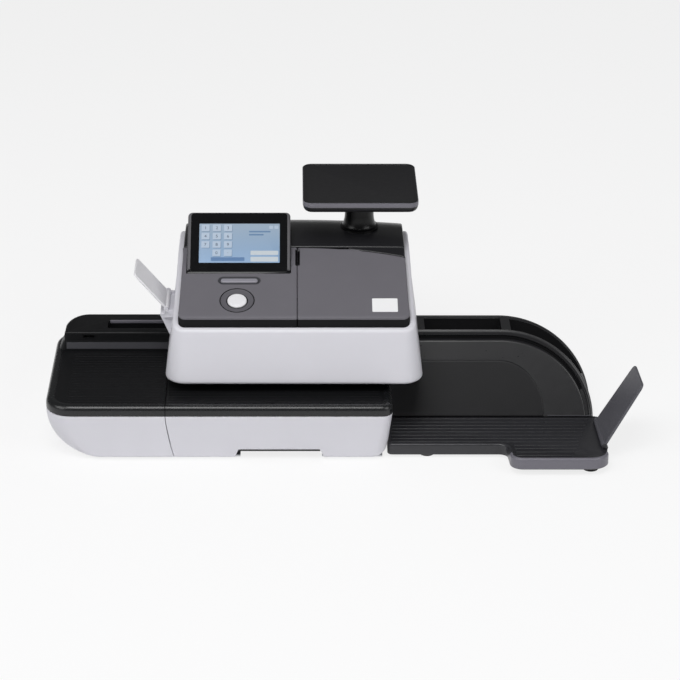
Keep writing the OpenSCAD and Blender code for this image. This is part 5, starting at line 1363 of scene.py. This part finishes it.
@dataclass
class CatchTray:
    """The catch tray: ribbed floor with its lobe, leaning wall with a pocketed top and the letter stop."""

    y: float = 100.0
    z: float = 4.5
    slope: float = 6.2
    left: float = 106.75
    right: float = 356.0
    depth: float = 93.5
    lobe_depth: float = 138.6
    lobe_w: float = 113.0
    lobe_r: float = 22.0
    lip: float = 2.5
    lip_round: float = 2.6
    lip_w: float = 4.2
    highlight_band: float = 0.15
    skirt: float = 11.0
    floor_t: float = 3.0
    rib_pitch: float = 10.4
    rib_count: int = 13
    rib_first: float = -9.0
    rib_half: float = 1.0
    rib_end: float = 348.0
    rib_draw: float = 0.26
    legs: tuple[Corner, ...] = ((152.3, 18.5, 11.5), (336.0, -18.8, 15.5))
    leg_r: float = 8.6
    leg_z: float = 3.0
    wall_left: float = 146.0
    wall_top: float = 89.5
    wall_foot: float = 3.0
    wall_depth: float = 45.0
    wall_lean: float = 33.0
    round_x: float = 244.0
    round_w: float = 108.0
    channel: float = 15.0
    field_right: float = 294.0
    field_z: Pair = (4.6, 60.5)
    field_r: float = 52.0
    bead_r: float = 0.9
    web: Pair = (246.0, 257.0)
    end_wall: float = 9.0
    end_top: float = 79.0
    base_right: float = 112.3
    stop_y: Pair = (-105.0, -24.0)
    stop_x: float = 353.0
    stop_rise: float = 4.0
    stop_len: float = 83.5
    stop_draw: Pair = (3.5, 9.5)
    stop_lean: float = 29.5
    stop_t: float = 3.0
    barrel_r: float = 3.5
    lug: float = 4.4

    def __post_init__(self) -> None:
        """Sets the floor's frame: across, back along the slope and out of it."""
        self.axes = Axes.tilted((0, self.y, self.z), -self.slope)
        self.lobe = self.right - self.lobe_w

    def build(self) -> None:
        """Makes the floor, its ribs, the wall and the stop."""
        self.build_floor()
        self.build_ribs()
        self.build_wall()
        self.build_stop()

    def floor_outline(self) -> Array:
        """Outline of the floor: a straight front on the left and a rounded lobe on the right."""
        return filleted([(self.left, 1.2, 0.5), (self.left, -self.depth, 6), (self.lobe, -self.depth, 10),
                         (self.lobe + 2, -self.lobe_depth, 14), (self.right, -self.lobe_depth, self.lobe_r),
                         (self.right, 1.2, 1)], 3)

    def build_floor(self) -> None:
        """Makes the floor with a lip and a skirt along its front, the stop's lugs, two legs and a light band
        on the lobe's front that paints its highlight and reflection.
        """
        loop = self.floor_outline()
        x, y = loop.T
        side = smooth((x - self.right + 6) / 3) * smooth((y + self.lobe_depth - self.lobe_r) / 8)
        front = smooth((-40 - y) / 40) * (1 - side)
        low = -self.floor_t - front * (self.skirt - self.floor_t)
        high = front * self.lip
        out = miters(loop)
        flat = np.full(len(loop), -self.floor_t)
        rows = [(self.lip_w, flat), (self.lip_w - 0.4, low), (0.7, low), (0, low + 0.7)]
        turn = self.lip_round
        rows += [(inset, high - drop) for inset, drop in quarter((0, turn), (turn, 0), 7)]
        rows += [(3.2, high), (3.8, high - 0.4 * front), (4.3, 0.45 * high), (4.8, 0.12 * high),
                 (5.4, np.zeros(len(loop)))]
        stack = np.stack([raised(loop - out * inset, level) for inset, level in rows])
        floor = Surface().grid(self.axes.lay(stack))
        at, rise, r = self.stop_x, self.stop_rise, self.barrel_r
        for y0 in (self.stop_y[1], self.stop_y[0] - self.lug - 0.3):
            near, far = y0 + 0.3, y0 + self.lug
            floor.join(bar(*self.axes.lay(np.array([(at, near, rise), (at, far, rise)])), r, 0.6))
            floor.join(block(self.axes, (at - r, near, -self.floor_t), (at + r - 0.6, far, rise), 0.4))
        for leg_x, leg_y, top in self.legs:
            floor.join(bar((leg_x, leg_y, self.leg_z), (leg_x, leg_y, top), self.leg_r))
        settle("tray_floor", floor, FLOOR, replaces=["tray_floor"])
        # Light grey band over the lobe's front lip and skirt: painted highlight, and painted reflection of
        # the pale floor.
        front = (x > self.lobe - 0.5) & (y < self.lobe_r - 0.5 - self.lobe_depth)
        t, low, high = self.highlight_band, 0.8 - self.skirt, self.lip + self.highlight_band
        band = np.concatenate([[(0.6, low), (-t, low)], quarter((-t, self.lip - turn), (turn, high), 7),
                               [(2.9, self.lip - 0.3), (0.6, self.lip - 2.8)]])
        settle("lobe_highlight_band", Surface().grid(self.axes.lay(swept(loop[front], band))), HIGHLIGHT_BAND)

    def build_ribs(self) -> None:
        """Makes the ribs along the floor, the front ones only on the lobe."""
        ribs = Surface()
        for k in range(self.rib_count):
            y = self.rib_first - self.rib_pitch * k
            start = self.left + 3 if y > 8 - self.depth else self.lobe + 8
            end = self.rib_end + self.rib_draw * y
            loop = box_outline(start, y - self.rib_half, end, y + self.rib_half, 0.95, 300)
            ribs.join(plate(self.axes, loop, -0.4, 0.75, 0.6))
        settle("tray_ribs", ribs, FLOOR)

    def wall_line(self, count: int = 110) -> tuple[Array, Array]:
        """Top line of the wall, as x and z, and its outward normals: straight, then a quarter ellipse.

        Args:
            count: points on the rounded end.

        Returns:
            The line and its normals, one row per point.
        """
        angle = np.linspace(RIGHT_ANGLE, 0, count)
        tall = self.wall_top - self.wall_foot
        across, up = self.round_w * np.cos(angle), tall * np.sin(angle)
        line = np.stack([self.round_x + across, self.wall_foot + up], 1)
        straight = np.linspace(self.wall_left + 0.4, self.round_x, 24, endpoint=False)
        line = np.concatenate([np.column_stack([straight, np.full(24, self.wall_top)]), line])
        slope = np.gradient(line, axis=0)
        return line, unit(np.column_stack([-slope[:, 1], slope[:, 0]]))

    def leant(self, x: Array, z: Array, back: Array | float) -> Array:
        """Places wall points: so far behind the front face, which leans back from the floor."""
        lean = math.tan(math.radians(self.wall_lean))
        return np.stack([x, self.y + (z - self.z) * lean + back, z], -1)

    def along_wall(self, line: Array, out: Array, stations: Sequence[Station]) -> Array:
        """Carries stations of inset and depth along the wall's top line, none below its foot."""
        rows = []
        for inset, back in stations:
            place = line - out * inset
            rows.append(self.leant(place[:, 0], np.maximum(place[:, 1], self.wall_foot), back))
        return np.stack(rows)

    def build_wall(self) -> None:
        """Makes the wall: front face, a stepped lip, the channel and the rear plate."""
        line, out = self.wall_line()
        deep, bottom = self.wall_depth, self.channel
        stations = [(34.6, 0.0), (11.4, 0.0), *quarter((10.8, 0.0), (9.2, 1.4), 5, rise_first=False),
                    (8.8, 3.4), (5.6, 3.4), (5.2, 2.6), (4.8, 1.4), (4.2, 0.8),
                    *quarter((3.4, 0.6), (0.0, 3.6), 7), (0.0, 4.2), (0.5, 5.1), (1.4, 5.5),
                    (bottom - 1, 6.0), (bottom, 7.5), (bottom, deep - 7.5), (bottom - 1, deep - 6),
                    (1.4, deep - 5.2), *quarter((1.2, deep - 5.0), (0, deep - 3.0), 5),
                    (0.0, deep - 1.4), (0.5, deep - 0.4), (1.4, deep)]
        ground = np.full(len(line), self.wall_foot)
        front = self.leant((line - out * stations[0][0])[:, 0], ground, 0.0)
        rear = self.leant((line - out * stations[-1][0])[:, 0], ground, deep)
        rows = np.concatenate([front[None], self.along_wall(line, out, stations), rear[None]])
        wall = Surface().grid(rows.transpose(1, 0, 2))
        upright = (self.wall_top - bottom - 1, self.wall_top - 0.7)
        for across in (self.web, (self.wall_left + 0.5, self.wall_left + self.end_wall)):
            wall.join(self.cross_wall(across, upright, (4.8, deep - 4.6)))
        across = (self.base_right, self.wall_left + 0.4)
        wall.join(self.cross_wall(across, (self.wall_foot, self.end_top), (0, deep)))
        settle("tray_wall", wall, TRAY, replaces=["tray_wall"])
        self.build_field()
        self.build_shade_sheets(line, out)

    def build_field(self) -> None:
        """Makes the raised field on the wall's front, with one large round corner, and a light bead at the
        wall's foot that paints a highlight there.
        """
        x0, x1, (z0, z1) = self.base_right + 0.3, self.field_right, self.field_z
        loop = filleted([(x0, z0, 4), (x1, z0, 2.2), (x1, z1, self.field_r), (x0, z1, 4)])
        edge = rings(loop, np.array([(0, 0.5), (0, -0.3), (0.3, -0.7), (0.8, -0.95), (1.4, -1), (2, -1)]))
        settle("wall_field", Surface().grid(self.leant(edge[..., 0], edge[..., 1], edge[..., 2])), FACE)
        # Slate bead along the wall's foot right of the field: painted highlight at the floor's junction with
        # the wall.
        foot = self.leant(np.array((x1 + 4, self.right - 7)), np.full(2, self.z + self.bead_r), -self.bead_r)
        settle("wall_highlight_bead", bar(*foot, self.bead_r, 0.3), SLATE)

    def build_shade_sheets(self, line: Array, out: Array) -> None:
        """Makes near-black sheets in the channel along the wall's top and in the groove below its lip:
        painted shade of those recesses.
        """
        deep, bottom = self.wall_depth, self.channel
        high = line[:, 1] > self.wall_foot + 2 * bottom
        seen = [(1.6, 5.8), (bottom - 1.2, 6.4), (bottom - 0.4, 7.8), (bottom - 0.4, deep - 7.8),
                (bottom - 1.2, deep - 6.4), (1.6, deep - 5.6)]
        hidden = [(1.6, deep - 4.9), (bottom + 0.4, deep - 6.6), (bottom + 0.4, 6.6), (1.6, 5.2)]
        rows = self.along_wall(line[high], out[high], seen + hidden)
        shade_sheets = Surface().grid(rows.transpose(1, 0, 2))
        # Near-black sheet at the bottom of the groove under the lip: painted shade.
        groove = [(8.6, 4.0), (8.6, 2.9), (5.8, 2.9), (5.8, 4.0)]
        shade_sheets.grid(self.along_wall(line[high], out[high], groove).transpose(1, 0, 2))
        settle("wall_shade_sheets", shade_sheets, SHADE_SHEETS)

    def cross_wall(self, across: Pair, upright: Pair, back: Pair) -> Surface:
        """Block between two places along the wall, leaning with it."""
        (low, high), (near, far) = upright, back
        z, y = np.array([(low, near), (high, near), (high, far), (low, far)]).T
        return Surface().grid(np.stack([self.leant(np.full(4, x), z, y) for x in across]))

    def build_stop(self) -> None:
        """Makes the folding stop: a tapered plate with a rounded top and its hinge barrel."""
        hinge = self.axes.moved(self.stop_x, 0, self.stop_rise)
        axes = hinge.leaning(self.stop_lean)
        y0, y1 = self.stop_y
        (near, far), top = self.stop_draw, self.stop_len
        loop = filleted([(y0 + 0.4, 2.0, 0.5), (y1 - 0.4, 2.0, 0.5), (y1 - far, top, 7),
                         (y0 + near, top, 7)], 4)
        stop = plate(axes, loop, -self.stop_t / 2, self.stop_t / 2, 1.0)
        stop.join(bar(*hinge.lay(np.array([(0, y0 + 0.2, 0), (0, y1 - 0.2, 0)])), self.barrel_r, 0.6))
        settle("letter_stop", stop, STOP, "stop", ["letter_stop"])


# Carried-over parts, room and camera


@dataclass
class Carried:
    """The parts that show as they were made: each gets the finish of its slot, and those listed get rounded
    edges.
    """

    bevel: float = 0.4
    rounded: tuple[str, ...] = ("rear_housing", "label_sill", "mains_inlet", "release_lever",
                                "print_unit", "ink_cartridge", "head_floor", "base_pan", "power_supply")

    def build(self) -> None:
        """Gives every part its procedural finish."""
        for entry in frame["record"]["subparts"]:
            part = frame["nodes"][entry["node"]]
            part.data.materials.clear()
            part.data.materials.append(BY_SLOT[entry["material_slot"]].material())
            if entry["node"] in self.rounded:
                weld = part.modifiers.new("weld", "WELD")
                weld.merge_threshold = MERGE_M
                add_bevel(part, self.bevel)


@dataclass
class Studio:
    """A plain pale floor, soft light and the camera."""

    camera_y: float = -2483.1
    camera_z: float = 1341.6
    pitch: float = 64.4
    lens: float = 130.76
    shift_x: float = 0.0676
    sensor: float = 36.0
    clip_end_m: float = 30.0
    floor_half: float = 6000.0
    floor_r: float = 300.0
    floor_step: float = 4000.0
    floor_t: float = 12.0
    floor_gap: float = 0.02
    floor_glow: float = 0.8
    ambient: float = 0.13
    aim_m: Place = (0, 0, 0.1)
    lamps: tuple[tuple[str, Place, float, float], ...] = (("key", (-300, -1150, 2400), 1400, 36),
                                                           ("left", (-1900, -1100, 1500), 1600, 22),
                                                           ("right", (1900, -1100, 1500), 1600, 22))

    def build(self) -> None:
        """Makes the floor, the lamps, the world and the camera."""
        half = self.floor_half
        loop = box_outline(-half, -half, half, half, self.floor_r, self.floor_step)
        floor = linked("floor", plate(UPRIGHT, loop, -self.floor_t, -self.floor_gap, 2).mesh("floor"))
        pale = Finish("floor_pale", "floor", (0.86, 0.86, 0.87), 0.8, mottle=0.01).material()
        self.brighten(pale)
        floor.data.materials.append(pale)
        for lamp in self.lamps:
            self.light(*lamp)
        self.world()
        self.camera()

    def brighten(self, pale: bpy.types.Material) -> None:
        """Blends white into what camera, gloss and glass see of the floor, which keeps its shadow."""
        nodes, links = pale.node_tree.nodes, pale.node_tree.links
        path = nodes.new("ShaderNodeLightPath")
        seen = path.outputs["Is Camera Ray"]
        for ray in ("Is Glossy Ray", "Is Transmission Ray"):
            either = nodes.new("ShaderNodeMath")
            either.operation = "MAXIMUM"
            links.new(seen, either.inputs[0])
            links.new(path.outputs[ray], either.inputs[1])
            seen = either.outputs["Value"]
        share = nodes.new("ShaderNodeMath")
        share.operation = "MULTIPLY"
        share.inputs[1].default_value = self.floor_glow
        links.new(seen, share.inputs[0])
        white = nodes.new("ShaderNodeEmission")
        blend = nodes.new("ShaderNodeMixShader")
        links.new(share.outputs["Value"], blend.inputs["Fac"])
        links.new(nodes["Principled BSDF"].outputs["BSDF"], blend.inputs[1])
        links.new(white.outputs["Emission"], blend.inputs[2])
        links.new(blend.outputs["Shader"], nodes["Material Output"].inputs["Surface"])

    def light(self, name: str, place: Place, size: float, power: float) -> None:
        """Adds a soft square lamp that faces the machine."""
        lamp = bpy.data.lights.new(name, "AREA")
        lamp.size = size * MM
        lamp.energy = power
        holder = linked(name, lamp)
        spot = Vector(DATUM.metres(np.array(place, float)))
        holder.location = spot
        holder.rotation_euler = (Vector(self.aim_m) - spot).to_track_quat("-Z", "Y").to_euler()

    def world(self) -> None:
        """Lights everything evenly."""
        world = bpy.data.worlds.new("studio")
        world.use_nodes = True
        bpy.context.scene.world = world
        ground = world.node_tree.nodes["Background"]
        ground.inputs["Color"].default_value = (1, 1, 1, 1)
        ground.inputs["Strength"].default_value = self.ambient

    def camera(self) -> None:
        """Sets the camera in front of the head, looking down, with the frame shifted to the tray."""
        lens = bpy.data.cameras.new("camera")
        lens.lens = self.lens
        lens.sensor_width = self.sensor
        lens.shift_x = self.shift_x
        lens.clip_end = self.clip_end_m
        holder = linked("camera", lens)
        holder.location = DATUM.metres(np.array((0, self.camera_y, self.camera_z)))
        holder.rotation_euler = (math.radians(self.pitch), 0, 0)
        bpy.context.scene.camera = holder


def main() -> None:
    """Builds every sub-assembly in order."""
    logging.basicConfig(level=logging.INFO, format="%(message)s")
    bpy.context.scene.view_settings.view_transform = "Standard"
    Studio().build()
    Carried().build()
    dress = HeadDress(Head())
    for assembly in (dress, Keys(dress), Display(), LabelFlap(), Scale(), Base(), CatchTray()):
        assembly.build()


if __name__ == "__main__":
    main()
